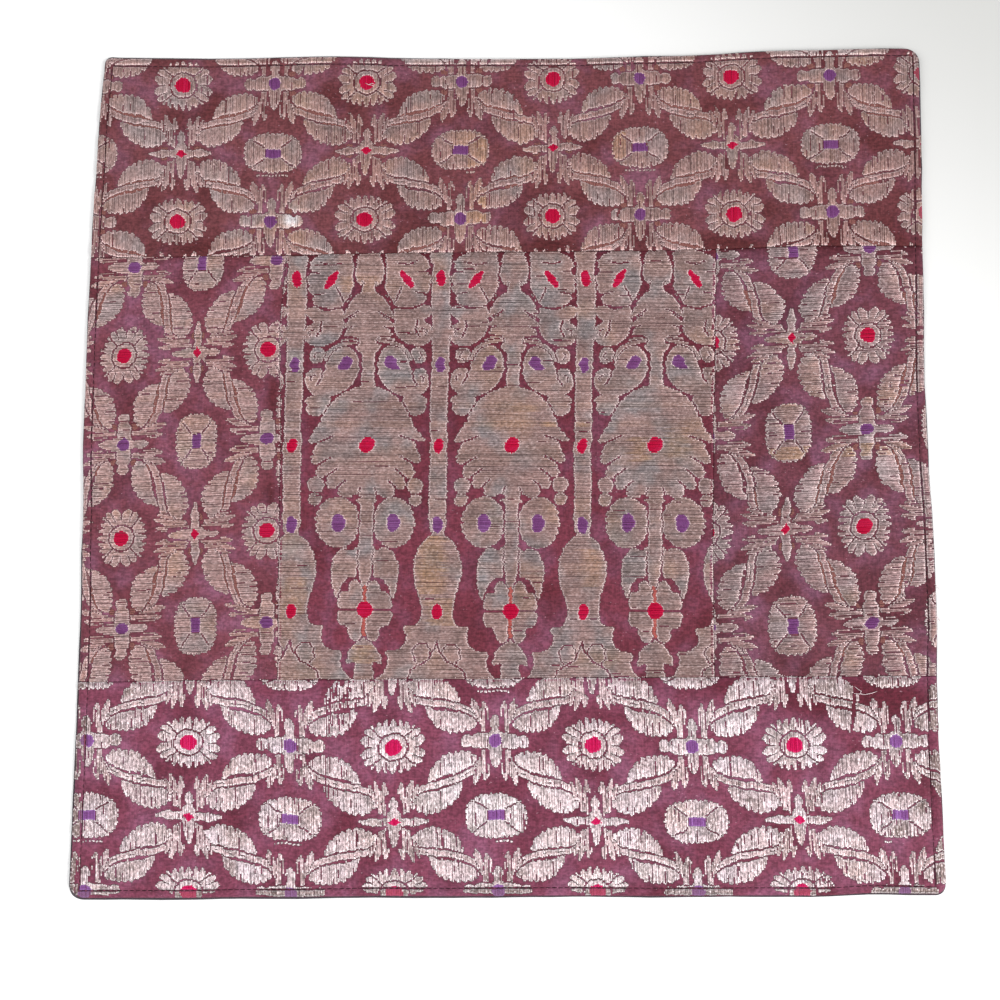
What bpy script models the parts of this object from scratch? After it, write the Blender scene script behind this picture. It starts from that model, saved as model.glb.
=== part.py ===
"""Pillow sham, empty and lying flat: a patchwork front of five cloth panels on a plain back.

Metres, +Z up. The origin is under the middle of the cover, on the surface that it lies on.
+Y runs to the top border and +X to the right border, as the front is looked down on.
"""
import math

import bmesh
import bpy

MM = 0.001

# Driving dimensions, in millimetres. The panels' widths and heights follow from the edge tables.
BACK_THICKNESS = 1.0
FRONT_THICKNESS = 1.2
HEM_THICKNESS = 2.0
HEM_WIDTH = 6.0
FACE_GAP = 0.3
SEAM_GAP = 0.3
GRID_STEP = 13.0
WAVE_HEIGHT = 0.7
BACK_OUTSET = 0.9

# Sewn edges of the front. Columns: distance along the edge, how far from the middle it lies there.
TOP_EDGE = ((-205, 206.4), (-188, 205.5), (-143, 204.6), (-85, 205.2), (-37, 203.5), (25, 203.0),
            (82, 203.9), (141, 206.0), (190, 206.5), (205, 206.4))
BOTTOM_EDGE = ((-205, -206.5), (-158, -206.0), (-110, -205.0), (-46, -203.8), (54, -202.6),
               (145, -201.5), (174, -200.0), (205, -200.2))
LEFT_EDGE = ((-207, -201.3), (-130, -201.2), (-76, -201.4), (-30, -202.6), (12, -204.2),
             (60, -204.5), (102, -204.4), (163, -203.2), (207, -201.5))
RIGHT_EDGE = ((-207, 204.5), (-184, 204.3), (-130, 203.4), (-102, 203.4), (-74, 204.5),
              (-32, 204.0), (0, 202.9), (40, 202.4), (100, 203.4), (160, 204.2), (207, 204.5))

# Seams between the panels, with the same columns.
TOP_SEAM = ((-205, 102.0), (-115, 102.5), (-52, 103.5), (67, 103.9), (159, 105.9), (205, 105.6))
BOTTOM_SEAM = ((-205, -106.3), (-114, -104.8), (-18, -103.7), (55, -102.6), (205, -101.1))
LEFT_SEAM = ((-105, -105.9), (-48, -106.9), (6, -107.5), (65, -109.2), (104, -107.0))
RIGHT_SEAM = ((-105, 100.2), (-52, 100.2), (15, 101.3), (53, 102.6), (104, 103.7))

# The radius that each corner of the cover is sewn to.
CORNER_RADIUS = {"top_left": 4.0, "top_right": 7.0, "bottom_left": 10.0, "bottom_right": 5.0}

# How many straight pieces the back's outline has round a corner and along an edge.
CORNER_STEPS = 4
EDGE_STEPS = 24


def along(table, place):
    """Where an edge lies at a distance along it, on a smooth curve through the table's rows."""
    if place <= table[0][0]:
        return table[0][1]
    for (start, low), (end, high) in zip(table, table[1:]):
        if place <= end:
            share = (place - start) / (end - start)
            return low + (high - low) * share * share * (3 - 2 * share)
    return table[-1][1]


def crossing(side, level):
    """The point where a side edge or seam meets an upper or lower one."""
    x, y = along(side, 0), 0
    for _ in range(6):
        y = along(level, x)
        x = along(side, y)
    return x, y


def grid_shares(length, hem_at_start, hem_at_end):
    """Shares of a panel's length where its grid lines lie, one of them at each hem's stitching."""
    low = HEM_WIDTH / length if hem_at_start else 0.0
    high = 1 - HEM_WIDTH / length if hem_at_end else 1.0
    steps = max(2, round((high - low) * length / GRID_STEP))
    shares = [low + (high - low) * i / steps for i in range(steps + 1)]
    if hem_at_start:
        shares.insert(0, 0.0)
    if hem_at_end:
        shares.append(1.0)
    return shares


def wave(x, y):
    """Height of the gentle unevenness that the empty cover keeps when it is smoothed out flat."""
    long_wave = math.sin(x / 47 + 0.6 * math.sin(y / 71)) * math.sin(y / 53 + 1.1)
    short_wave = math.sin(x / 23 + 2.0) * math.sin(y / 29 + 0.4)
    return WAVE_HEIGHT * (0.5 + 0.36 * long_wave + 0.14 * short_wave)


def cloth(name, colour, roughness, metallic):
    """A plain material with the cloth's own colour."""
    material = bpy.data.materials.new(name)
    material.use_nodes = True
    shader = material.node_tree.nodes["Principled BSDF"]
    shader.inputs["Base Color"].default_value = (*colour, 1.0)
    shader.inputs["Roughness"].default_value = roughness
    shader.inputs["Metallic"].default_value = metallic
    return material


def place_in_panel(u, v, edges, hems, corners):
    """The millimetre position of the point at shares u and v across and up a panel."""
    left, right, bottom, top = edges
    inset = {side: 0.0 if side in hems else SEAM_GAP / 2 for side in ("left", "right", "bottom", "top")}
    (x00, y00), (x10, y10), (x01, y01), (x11, y11) = corners
    left_x = along(left, y00 + (y01 - y00) * v) + inset["left"]
    right_x = along(right, y10 + (y11 - y10) * v) - inset["right"]
    bottom_y = along(bottom, x00 + (x10 - x00) * u) + inset["bottom"]
    top_y = along(top, x01 + (x11 - x01) * u) - inset["top"]
    x = (1 - u) * left_x + u * right_x
    y = (1 - v) * bottom_y + v * top_y

    side = {0.0: "left", 1.0: "right"}.get(u)
    level = {0.0: "bottom", 1.0: "top"}.get(v)
    if side in hems and level in hems:
        pull = CORNER_RADIUS[f"{level}_{side}"] * (1 - 1 / math.sqrt(2))
        x += pull if side == "left" else -pull
        y += pull if level == "bottom" else -pull
    return x, y, side in hems or level in hems


def front_panel(name, edges, hems, material, collection):
    """One panel of the front, cut to its left, right, bottom and top edge.

    hems names its sides on the outside of the cover, where the turned cloth is thicker.
    """
    left, right, bottom, top = edges
    corners = (crossing(left, bottom), crossing(right, bottom), crossing(left, top), crossing(right, top))
    across = grid_shares(corners[1][0] - corners[0][0], "left" in hems, "right" in hems)
    up = grid_shares(corners[2][1] - corners[0][1], "bottom" in hems, "top" in hems)

    mesh = bpy.data.meshes.new(name)
    cage = bmesh.new()
    bmesh.ops.create_grid(cage, x_segments=len(across) - 1, y_segments=len(up) - 1, size=0.5)
    weights = cage.verts.layers.deform.verify()
    for vert in cage.verts:
        u = across[round((vert.co.x + 0.5) * (len(across) - 1))]
        v = up[round((vert.co.y + 0.5) * (len(up) - 1))]
        x, y, at_hem = place_in_panel(u, v, edges, hems, corners)
        vert.co = (x * MM, y * MM, (BACK_THICKNESS + FACE_GAP + wave(x, y)) * MM)
        vert[weights][0] = 1.0 if at_hem else FRONT_THICKNESS / HEM_THICKNESS
    cage.to_mesh(mesh)
    cage.free()

    panel = bpy.data.objects.new(name, mesh)
    collection.objects.link(panel)
    panel.vertex_groups.new(name="cloth thickness")
    sheet = panel.modifiers.new("cloth thickness", "SOLIDIFY")
    sheet.thickness = HEM_THICKNESS * MM
    sheet.offset = 1.0
    sheet.vertex_group = "cloth thickness"
    mesh.materials.append(material)
    return panel


def back_outline():
    """Points round the back, which stands out a little past the front on every side."""
    corners = {
        "bottom_right": crossing(RIGHT_EDGE, BOTTOM_EDGE),
        "top_right": crossing(RIGHT_EDGE, TOP_EDGE),
        "top_left": crossing(LEFT_EDGE, TOP_EDGE),
        "bottom_left": crossing(LEFT_EDGE, BOTTOM_EDGE),
    }
    names = list(corners)
    edges = (RIGHT_EDGE, TOP_EDGE, LEFT_EDGE, BOTTOM_EDGE)
    runs = []
    for i, edge in enumerate(edges):
        upright = i % 2 == 0
        out = BACK_OUTSET if i < 2 else -BACK_OUTSET
        turn = 1 if i in (0, 3) else -1
        start_name, end_name = names[i], names[(i + 1) % 4]
        start = corners[start_name][upright] + turn * CORNER_RADIUS[start_name]
        end = corners[end_name][upright] - turn * CORNER_RADIUS[end_name]
        places = [start + (end - start) * step / EDGE_STEPS for step in range(EDGE_STEPS + 1)]
        if upright:
            runs.append([(along(edge, place) + out, place) for place in places])
        else:
            runs.append([(place, along(edge, place) + out) for place in places])

    points = []
    for i, run in enumerate(runs):
        points += run
        name = names[(i + 1) % 4]
        tip_x = corners[name][0] + (BACK_OUTSET if name.endswith("right") else -BACK_OUTSET)
        tip_y = corners[name][1] + (BACK_OUTSET if name.startswith("top") else -BACK_OUTSET)
        following = runs[(i + 1) % 4][0]
        for step in range(1, CORNER_STEPS):
            t = step / CORNER_STEPS
            x = (1 - t) ** 2 * run[-1][0] + 2 * t * (1 - t) * tip_x + t * t * following[0]
            y = (1 - t) ** 2 * run[-1][1] + 2 * t * (1 - t) * tip_y + t * t * following[1]
            points.append((x, y))
    return points


def back_panel(name, material, collection):
    """The plain back in one piece, flat on the surface."""
    curve = bpy.data.curves.new(name, "CURVE")
    curve.dimensions = "2D"
    curve.fill_mode = "BOTH"
    curve.extrude = BACK_THICKNESS / 2 * MM
    outline = back_outline()
    spline = curve.splines.new("POLY")
    spline.points.add(len(outline) - 1)
    for point, (x, y) in zip(spline.points, outline):
        point.co = (x * MM, y * MM, 0, 1)
    spline.use_cyclic_u = True
    panel = bpy.data.objects.new(name, curve)
    panel.location.z = BACK_THICKNESS / 2 * MM
    collection.objects.link(panel)
    curve.materials.append(material)
    return panel


for leftover in list(bpy.data.objects):
    bpy.data.objects.remove(leftover, do_unlink=True)

sham = bpy.data.collections.new("pillow_sham")
bpy.context.scene.collection.children.link(sham)

border_cloth = cloth("border brocade", (0.30, 0.17, 0.19), 0.5, 0.2)
side_cloth = cloth("side brocade", (0.27, 0.14, 0.18), 0.5, 0.2)
centre_cloth = cloth("centre brocade", (0.25, 0.08, 0.11), 0.5, 0.2)
back_cloth = cloth("plain back cloth", (0.024, 0.015, 0.022), 0.85, 0.0)

front_panel("front_top_border", (LEFT_EDGE, RIGHT_EDGE, TOP_SEAM, TOP_EDGE),
            ("left", "right", "top"), border_cloth, sham)
front_panel("front_bottom_border", (LEFT_EDGE, RIGHT_EDGE, BOTTOM_EDGE, BOTTOM_SEAM),
            ("left", "right", "bottom"), border_cloth, sham)
front_panel("front_left_border", (LEFT_EDGE, LEFT_SEAM, BOTTOM_SEAM, TOP_SEAM),
            ("left",), side_cloth, sham)
front_panel("front_right_border", (RIGHT_SEAM, RIGHT_EDGE, BOTTOM_SEAM, TOP_SEAM),
            ("right",), side_cloth, sham)
front_panel("front_centre_panel", (LEFT_SEAM, RIGHT_SEAM, BOTTOM_SEAM, TOP_SEAM),
            (), centre_cloth, sham)
back_panel("back_panel", back_cloth, sham)
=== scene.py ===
import math

import bpy
import numpy as np
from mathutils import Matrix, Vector


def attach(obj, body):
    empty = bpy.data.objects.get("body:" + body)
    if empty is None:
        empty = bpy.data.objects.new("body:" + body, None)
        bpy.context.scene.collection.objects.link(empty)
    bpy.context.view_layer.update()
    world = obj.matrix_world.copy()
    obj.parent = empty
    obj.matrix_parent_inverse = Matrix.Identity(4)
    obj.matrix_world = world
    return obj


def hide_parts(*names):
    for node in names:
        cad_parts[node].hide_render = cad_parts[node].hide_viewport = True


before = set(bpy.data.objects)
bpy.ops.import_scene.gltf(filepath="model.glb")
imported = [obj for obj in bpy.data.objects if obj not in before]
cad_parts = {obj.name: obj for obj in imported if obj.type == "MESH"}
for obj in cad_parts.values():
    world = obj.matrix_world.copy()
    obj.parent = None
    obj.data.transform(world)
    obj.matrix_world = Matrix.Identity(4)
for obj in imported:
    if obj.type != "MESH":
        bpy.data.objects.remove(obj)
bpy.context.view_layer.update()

# Lengths below are in millimetres along the frame's own directions. Meshes are made with MM.
MM = 0.001

# The back
# One piece of plain dark cotton, laid face down on the surface. It is sewn to the front all round
# and turned, and its folded edge rolls a little way out past the brocade along most sides.
TOP_EDGE = ((-205, 206.4), (-188, 205.5), (-143, 204.6), (-85, 205.2), (-37, 203.5), (25, 203.0),
            (82, 203.9), (141, 206.0), (190, 206.5), (205, 206.4))
BOTTOM_EDGE = ((-205, -206.5), (-158, -206.0), (-110, -205.0), (-46, -203.8), (54, -202.6),
               (145, -201.5), (174, -200.0), (205, -200.2))
LEFT_EDGE = ((-207, -201.3), (-130, -201.2), (-76, -201.4), (-30, -202.6), (12, -204.2),
             (60, -204.5), (102, -204.4), (163, -203.2), (207, -201.5))
RIGHT_EDGE = ((-207, 204.5), (-184, 204.3), (-130, 203.4), (-102, 203.4), (-74, 204.5),
              (-32, 204.0), (0, 202.9), (40, 202.4), (100, 203.4), (160, 204.2), (207, 204.5))
CORNER_RADIUS = {("left", "top"): 4.0, ("right", "top"): 7.0,
                 ("left", "bottom"): 7.0, ("right", "bottom"): 5.0}
BACK_TOP = 0.9
BACK_ROLL_HEIGHT = 0.45
BACK_ROLL_WIDTH = 2.2
BACK_ROLL_START = 1.2
BACK_EDGE_DROP = 0.55
BACK_EDGE_LIFT = 0.35
BACK_STEP = 9.0
# How the back's outset wobbles. Columns: how far, over what length, shift.
BACK_WOBBLE = ((0.12, 9.0, 0.0), (0.08, 3.7, 1.0))
# Columns: the place along a side where the back's outset changes, and the outset before and after.
BACK_OUTSET = {"left": (-45, 0.85, 0.3), "right": (140, 0.25, 0.7),
               "bottom": (0, 1.05, 0.7), "top": (-28, 0.75, 0.3)}
SIDES = ("left", "right", "bottom", "top")
# How far in from a hem or a seam the lines of a cloth's mesh lie.
HEM_LINES = (0.0, 0.3, 0.7, 1.2, 1.8, 2.5, 3.1, 3.6, 4.0, 4.4, 4.9, 5.6, 6.6, 8.0)
SEAM_LINES = (0.05, 0.4, 0.8, 1.3, 1.9, 2.7, 4.0)


def edge_at(table, place):
    """Where an edge or a seam lies at each distance along it, smoothly through the table's rows."""
    rows = np.asarray(table, float)
    place = np.clip(place, rows[0, 0], rows[-1, 0])
    row = np.clip(np.searchsorted(rows[:, 0], place, side="right") - 1, 0, len(rows) - 2)
    share = (place - rows[row, 0]) / (rows[row + 1, 0] - rows[row, 0])
    return rows[row, 1] + (rows[row + 1, 1] - rows[row, 1]) * share * share * (3 - 2 * share)


def crossing(side, level):
    """The point where a side edge or seam meets an upper or lower one."""
    x, y = float(edge_at(side, 0)), 0.0
    for _ in range(6):
        y = float(edge_at(level, x))
        x = float(edge_at(side, y))
    return x, y


def side_distances(x, y):
    """How far inside each of the cover's four outer edges a point lies."""
    return {
        "left": x - edge_at(LEFT_EDGE, y),
        "right": edge_at(RIGHT_EDGE, y) - x,
        "bottom": y - edge_at(BOTTOM_EDGE, x),
        "top": edge_at(TOP_EDGE, x) - y,
    }


def outline_distance(x, y):
    """How far inside the sewn outline with its rounded corners a point lies."""
    inside = side_distances(x, y)
    distance = np.minimum.reduce(list(inside.values()))
    for (side, level), radius in CORNER_RADIUS.items():
        at_corner = (inside[side] < radius) & (inside[level] < radius)
        rounded = radius - np.hypot(radius - inside[side], radius - inside[level])
        distance = np.where(at_corner, rounded, distance)
    return distance


def back_outset(side, place):
    """How far the back's folded edge rolls out past the front at a distance along one side."""
    change, before, after = BACK_OUTSET[side]
    wobble = sum(height * np.sin(place / length + turn) for height, length, turn in BACK_WOBBLE)
    return np.where(place < change, before, after) + wobble


def grid_lines(length, start, end, step):
    """Shares of a cloth's length where its mesh has lines, close together at its hems and seams."""
    lines = {"hem": np.array(HEM_LINES), "seam": np.array(SEAM_LINES)}
    low, high = lines[start], length - lines[end][::-1]
    count = max(2, round((high[0] - low[-1]) / step))
    return np.concatenate([low, np.linspace(low[-1], high[0], count + 1)[1:-1], high]) / length


def cloth_grid(edges, ends, step, outset=None):
    """Points over a cloth between its four edges, which end in hems or seams.

    outset tells how far the cloth comes out past a hemmed edge at each place along it.
    """
    left, right, bottom, top = (edges[side] for side in SIDES)
    corners = [crossing(side, level) for level in (bottom, top) for side in (left, right)]
    (x00, y00), (x10, y10), (x01, y01), (x11, y11) = corners
    u, v = np.meshgrid(grid_lines(x10 - x00, ends["left"], ends["right"], step),
                       grid_lines(y01 - y00, ends["bottom"], ends["top"], step))
    along = {"left": y00 + (y01 - y00) * v, "right": y10 + (y11 - y10) * v,
             "bottom": x00 + (x10 - x00) * u, "top": x01 + (x11 - x01) * u}
    out = {side: outset(side, along[side]) if outset and ends[side] == "hem" else 0.0
           for side in ends}
    x = (1 - u) * (edge_at(left, along["left"]) - out["left"])
    x = x + u * (edge_at(right, along["right"]) + out["right"])
    y = (1 - v) * (edge_at(bottom, along["bottom"]) - out["bottom"])
    y = y + v * (edge_at(top, along["top"]) + out["top"])
    for (side, level), radius in CORNER_RADIUS.items():
        if ends[side] == "hem" and ends[level] == "hem":
            inside = side_distances(x, y)
            in_x = np.maximum(radius - inside[side] - out[side], 0)
            in_y = np.maximum(radius - inside[level] - out[level], 0)
            pull = 1 - np.maximum(in_x, in_y) / np.maximum(np.hypot(in_x, in_y), 1e-6)
            x = x + in_x * pull * (1 if side == "left" else -1)
            y = y + in_y * pull * (1 if level == "bottom" else -1)
    return x, y


def mesh_from_arrays(name, points, quads, triangles=None, plan=None, values=None, smooth_faces=None):
    """A mesh object from arrays of points in millimetres, of faces and of each point's values.

    plan holds a place on the flat map for each corner of the faces. The first smooth_faces faces
    are shaded as one rounded surface, and all are where that number isn't given.
    """
    triangles = np.zeros((0, 3), int) if triangles is None else triangles
    corners = np.concatenate([quads.ravel(), triangles.ravel()])
    starts = np.concatenate([np.arange(len(quads)) * 4, quads.size + np.arange(len(triangles)) * 3])
    mesh = bpy.data.meshes.new(name)
    mesh.vertices.add(len(points))
    mesh.vertices.foreach_set("co", (points * MM).astype(np.float32).ravel())
    mesh.loops.add(len(corners))
    mesh.loops.foreach_set("vertex_index", corners.astype(np.int32))
    mesh.polygons.add(len(starts))
    mesh.polygons.foreach_set("loop_start", starts.astype(np.int32))
    rounded = np.arange(len(starts)) < (len(starts) if smooth_faces is None else smooth_faces)
    mesh.polygons.foreach_set("use_smooth", rounded)
    if plan is not None:
        layer = mesh.uv_layers.new(name="OFBake")
        layer.uv.foreach_set("vector", plan.astype(np.float32).ravel())
    for value_name, numbers in (values or {}).items():
        attribute = mesh.attributes.new(value_name, "FLOAT", "POINT")
        attribute.data.foreach_set("value", numbers.astype(np.float32))
    mesh.update(calc_edges=True)
    made = bpy.data.objects.new(name, mesh)
    bpy.context.scene.collection.objects.link(made)
    return made


# Where a sheet's upper and lower face start on its flat plan, and how large each is there.
PLAN_STARTS = (0.01, 0.51)
PLAN_WIDTH = 0.48
PLAN_HEIGHT = 0.98


def sheet_object(name, x, y, upper, lower, values=None):
    """A closed sheet over a grid of points, between its upper and lower heights."""
    rows, columns = x.shape
    count = rows * columns
    number = np.arange(count).reshape(rows, columns)
    faces = np.stack([number[:-1, :-1], number[:-1, 1:], number[1:, 1:], number[1:, :-1]], -1)
    faces = faces.reshape(-1, 4)
    ring = np.concatenate([number[0, :-1], number[:-1, -1], number[-1, :0:-1], number[:0:-1, 0]])
    after = np.roll(ring, -1)
    rim = np.stack([ring, ring + count, after + count, after], -1)
    quads = np.concatenate([faces, faces[:, ::-1] + count, rim])
    points = np.concatenate([np.stack([x, y, upper], -1).reshape(-1, 3),
                             np.stack([x, y, lower], -1).reshape(-1, 3)])
    across = (x - x.min()) / (x.max() - x.min())
    up = (y - y.min()) / (y.max() - y.min())
    flat = [np.stack([start + PLAN_WIDTH * across, PLAN_STARTS[0] + PLAN_HEIGHT * up], -1).reshape(-1, 2)
            for start in PLAN_STARTS]
    plan = np.concatenate(flat)[quads.ravel()]
    both = {key: np.tile(value.ravel(), 2) for key, value in (values or {}).items()}
    return mesh_from_arrays(name, points, quads, plan=plan, values=both)


def new_material(name, roughness):
    """A material with the shader's plain roughness, its node tree and its shader."""
    material = bpy.data.materials.new(name)
    material.use_nodes = True
    shader = material.node_tree.nodes["Principled BSDF"]
    shader.inputs["Roughness"].default_value = roughness
    return material, material.node_tree, shader


def group_tree(name, inputs, outputs):
    """A shader node group with its named inputs, given with their values, and its named outputs."""
    tree = bpy.data.node_groups.new(name, "ShaderNodeTree")
    for socket, value in inputs.items():
        kind = "NodeSocketColor" if isinstance(value, tuple) else "NodeSocketFloat"
        made = tree.interface.new_socket(name=socket, in_out="INPUT", socket_type=kind)
        made.default_value = (*value, 1.0) if isinstance(value, tuple) else value
    for socket, kind in outputs.items():
        tree.interface.new_socket(name=socket, in_out="OUTPUT", socket_type=kind)
    return tree, tree.nodes.new("NodeGroupInput").outputs, tree.nodes.new("NodeGroupOutput").inputs


def fill(tree, socket, value):
    """Joins a socket to another one, or gives it a number, a vector or a colour."""
    if isinstance(value, bpy.types.NodeSocket):
        tree.links.new(value, socket)
    elif socket.type == "RGBA" and isinstance(value, tuple):
        socket.default_value = (*value, 1.0)
    else:
        socket.default_value = value


def place_group(tree, group, **values):
    """The group in a material or in another group, with values or sockets on its inputs."""
    node = tree.nodes.new("ShaderNodeGroup")
    node.node_tree = group
    for name, value in values.items():
        fill(tree, node.inputs[name.replace("_", " ")], value)
    return node.outputs


def add_node(tree, kind, inputs, **settings):
    """The outputs of a new shader node, whose inputs are given by name or number."""
    node = tree.nodes.new("ShaderNode" + kind)
    for name, value in settings.items():
        setattr(node, name, value)
    for socket, value in inputs.items():
        fill(tree, node.inputs[socket], value)
    return node.outputs


def calculate(tree, operation, first, second=0.0):
    """The sum, product or the like of two numbers."""
    return add_node(tree, "Math", {0: first, 1: second}, operation=operation)[0]


def times(tree, first, second):
    """The product of two numbers."""
    return calculate(tree, "MULTIPLY", first, second)


def blend_colours(tree, share, first, second, kind="MIX"):
    """The colour that a share of the second makes with the first."""
    inputs = {0: share, 6: first, 7: second}
    return add_node(tree, "Mix", inputs, data_type="RGBA", blend_type=kind)[2]


def cloth_places(tree, across=1.0, up=1.0):
    """Coordinates on the object in millimetres, squeezed by a factor along either direction."""
    place = add_node(tree, "TexCoord", {})["Object"]
    factors = (across / MM, up / MM, 1 / MM)
    return add_node(tree, "VectorMath", {0: place, 1: factors}, operation="MULTIPLY")[0]


def cloud(tree, size, detail=2.0, across=1.0, up=1.0, shift=0.0):
    """Soft random patches of about a size in millimetres, squeezed along either direction."""
    inputs = {"W": shift, "Scale": 1 / size, "Detail": detail, "Vector": cloth_places(tree, across, up)}
    return add_node(tree, "TexNoise", inputs, noise_dimensions="4D")["Fac"]


def spread(tree, value, low, high, to_low=0.0, to_high=1.0):
    """The part of a value between low and high, stretched to the full range."""
    inputs = dict(enumerate((value, low, high, to_low, to_high)))
    return add_node(tree, "MapRange", inputs, interpolation_type="SMOOTHSTEP")[0]


def bump_from(tree, height, strength, distance):
    """A normal from a height, with the relief's depth in millimetres."""
    return add_node(tree, "Bump", {"Strength": strength, "Distance": distance * MM, "Height": height})[0]


def make_plain_weave():
    """Warp and weft of a plain cloth: its relief, and the streaks of thicker and thinner threads."""
    tree, entry, result = group_tree("plain weave", {"Slub Depth": 0.5},
                                     {"Height": "NodeSocketFloat", "Streak": "NodeSocketFloat"})
    warp = cloud(tree, 0.55, 1.0, up=0.09)
    weft = cloud(tree, 0.55, 1.0, across=0.09, shift=3.0)
    grain = cloud(tree, 0.5, 2.0, shift=7.0)
    threads = calculate(tree, "ADD", warp, weft)
    streak = times(tree, threads, 0.5)
    slubs = times(tree, streak, entry["Slub Depth"])
    fill(tree, result["Streak"], streak)
    fill(tree, result["Height"], calculate(tree, "ADD", slubs, times(tree, grain, 0.5)))
    return tree


plain_weave = make_plain_weave()


def back_cotton():
    """Nearly black plum cotton, a little faded and dusty."""
    material, tree, shader = new_material("dark back cotton", 0.82)
    weave = place_group(tree, plain_weave, Slub_Depth=0.8)
    faded = blend_colours(tree, spread(tree, cloud(tree, 30.0), 0.4, 0.7), (0.021, 0.012, 0.019),
                          (0.036, 0.020, 0.030))
    worn = spread(tree, weave["Streak"], 0.42, 0.62)
    colour = blend_colours(tree, worn, faded, (0.052, 0.033, 0.045))
    lint = spread(tree, cloud(tree, 0.9, 1.0, shift=11.0), 0.70, 0.76, 0.0, 0.35)
    fill(tree, shader.inputs["Base Color"], blend_colours(tree, lint, colour, (0.16, 0.12, 0.13)))
    fill(tree, shader.inputs["Normal"], bump_from(tree, weave["Height"], 0.6, 0.25))
    shader.inputs["Sheen Weight"].default_value = 0.2
    return material


OUTER_EDGES = {"left": LEFT_EDGE, "right": RIGHT_EDGE, "bottom": BOTTOM_EDGE, "top": TOP_EDGE}
ALL_HEMMED = dict.fromkeys(SIDES, "hem")
back_x, back_y = cloth_grid(OUTER_EDGES, ALL_HEMMED, BACK_STEP, back_outset)
back_in = np.clip((outline_distance(back_x, back_y) + BACK_ROLL_START) / BACK_ROLL_WIDTH, 0, 1)
back_roll = BACK_ROLL_HEIGHT * 4 * back_in * (1 - back_in)
folded = (1 - np.clip(back_in * 3, 0, 1)) ** 2
back = sheet_object("back_cloth", back_x, back_y, BACK_TOP + back_roll - BACK_EDGE_DROP * folded,
                    BACK_EDGE_LIFT * folded)
back.data.materials.append(back_cotton())
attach(back, "root")
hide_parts("back_panel")

# The silk ground of the front
# Five pieces cut from one old brocade: plum and wine silk, woven with many small slubs. They are
# sewn edge to edge, the seams sink between them, and the outer edges are turned under and stitched.
TOP_SEAM = ((-205, 102.0), (-115, 102.5), (-52, 103.5), (67, 103.9), (159, 105.9), (205, 105.6))
BOTTOM_SEAM = ((-205, -106.3), (-114, -104.8), (-18, -103.7), (55, -102.6), (205, -101.1))
LEFT_SEAM = ((-105, -105.9), (-48, -106.9), (6, -107.5), (65, -109.2), (104, -107.0))
RIGHT_SEAM = ((-105, 100.2), (-52, 100.2), (15, 101.3), (53, 102.6), (104, 103.7))
FACE_HEIGHT = 2.5
CLOTH_THICKNESS = 1.2
WAVE_HEIGHT = 0.7
SILK_STEP = 3.6
HEM_RISE = 0.35
HEM_CREST = (2.4, 1.6)
HEM_ROLL = 2.4
HEM_DROP = 1.25
HEM_TURN = 9.0
UNDERSIDE = 0.98
LEAST_THICKNESS = 0.5
PUCKER = 0.10
PUCKER_BAND = (4.5, 3.5)
PUCKER_LENGTH = (1.9, 2.3)
STITCH_INSET = {"left": ((-207, 4.6), (0, 4.2), (207, 4.0)), "right": ((-207, 5.0), (0, 4.0), (207, 3.1)),
                "bottom": ((-205, 3.4), (0, 3.7), (205, 3.4)), "top": ((-205, 4.4), (0, 3.8), (205, 3.9))}
STITCH_SINK = 0.5
STITCH_REACH = 0.5
SEAM_SINK = 0.55
SEAM_REACH = 0.5
SEAM_RISE = 0.12
SEAM_CREST = (3.0, 2.0)
SEAM_EDGE = 0.15

# Columns: panel and node, silk, its edges, where it is hemmed, the size it was cut to in metres.
PANELS = (
    ("top_border", "front_top_border", "border_brocade", (LEFT_EDGE, RIGHT_EDGE, TOP_SEAM, TOP_EDGE),
     ("left", "right", "top"), (0.430, 0.125)),
    ("bottom_border", "front_bottom_border", "border_brocade",
     (LEFT_EDGE, RIGHT_EDGE, BOTTOM_EDGE, BOTTOM_SEAM), ("left", "right", "bottom"), (0.430, 0.125)),
    ("left_border", "front_left_border", "side_brocade", (LEFT_EDGE, LEFT_SEAM, BOTTOM_SEAM, TOP_SEAM),
     ("left",), (0.118, 0.228)),
    ("right_border", "front_right_border", "side_brocade", (RIGHT_SEAM, RIGHT_EDGE, BOTTOM_SEAM, TOP_SEAM),
     ("right",), (0.122, 0.228)),
    ("centre", "front_centre_panel", "centre_brocade", (LEFT_SEAM, RIGHT_SEAM, BOTTOM_SEAM, TOP_SEAM),
     (), (0.232, 0.228)),
)


def wave(x, y):
    """Height of the gentle unevenness that the empty cover keeps when it is smoothed out flat."""
    long_wave = np.sin(x / 47 + 0.6 * np.sin(y / 71)) * np.sin(y / 53 + 1.1)
    short_wave = np.sin(x / 23 + 2.0) * np.sin(y / 29 + 0.4)
    return WAVE_HEIGHT * (0.5 + 0.36 * long_wave + 0.14 * short_wave)


def seam_distance(x, y):
    """How far a point lies from the nearest seam between two panels."""
    across = np.minimum(np.abs(y - edge_at(TOP_SEAM, x)), np.abs(y - edge_at(BOTTOM_SEAM, x)))
    upright = np.minimum(np.abs(x - edge_at(LEFT_SEAM, y)), np.abs(x - edge_at(RIGHT_SEAM, y)))
    between = (y > edge_at(BOTTOM_SEAM, x)) & (y < edge_at(TOP_SEAM, x))
    return np.where(between, np.minimum(across, upright), across)


def stitch_offset(x, y):
    """How far a point lies inside the line of stitching round the cover, or outside it where negative."""
    inside = side_distances(x, y)
    place = dict(zip(SIDES, (y, y, x, x)))
    beyond = [inside[side] - edge_at(STITCH_INSET[side], place[side]) for side in SIDES]
    return np.minimum.reduce(beyond)


def ridge(distance, middle, width):
    """1 on a line at the middle distance, and softly down to 0 within about two widths of it."""
    return np.exp(-((distance - middle) / width) ** 2)


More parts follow.
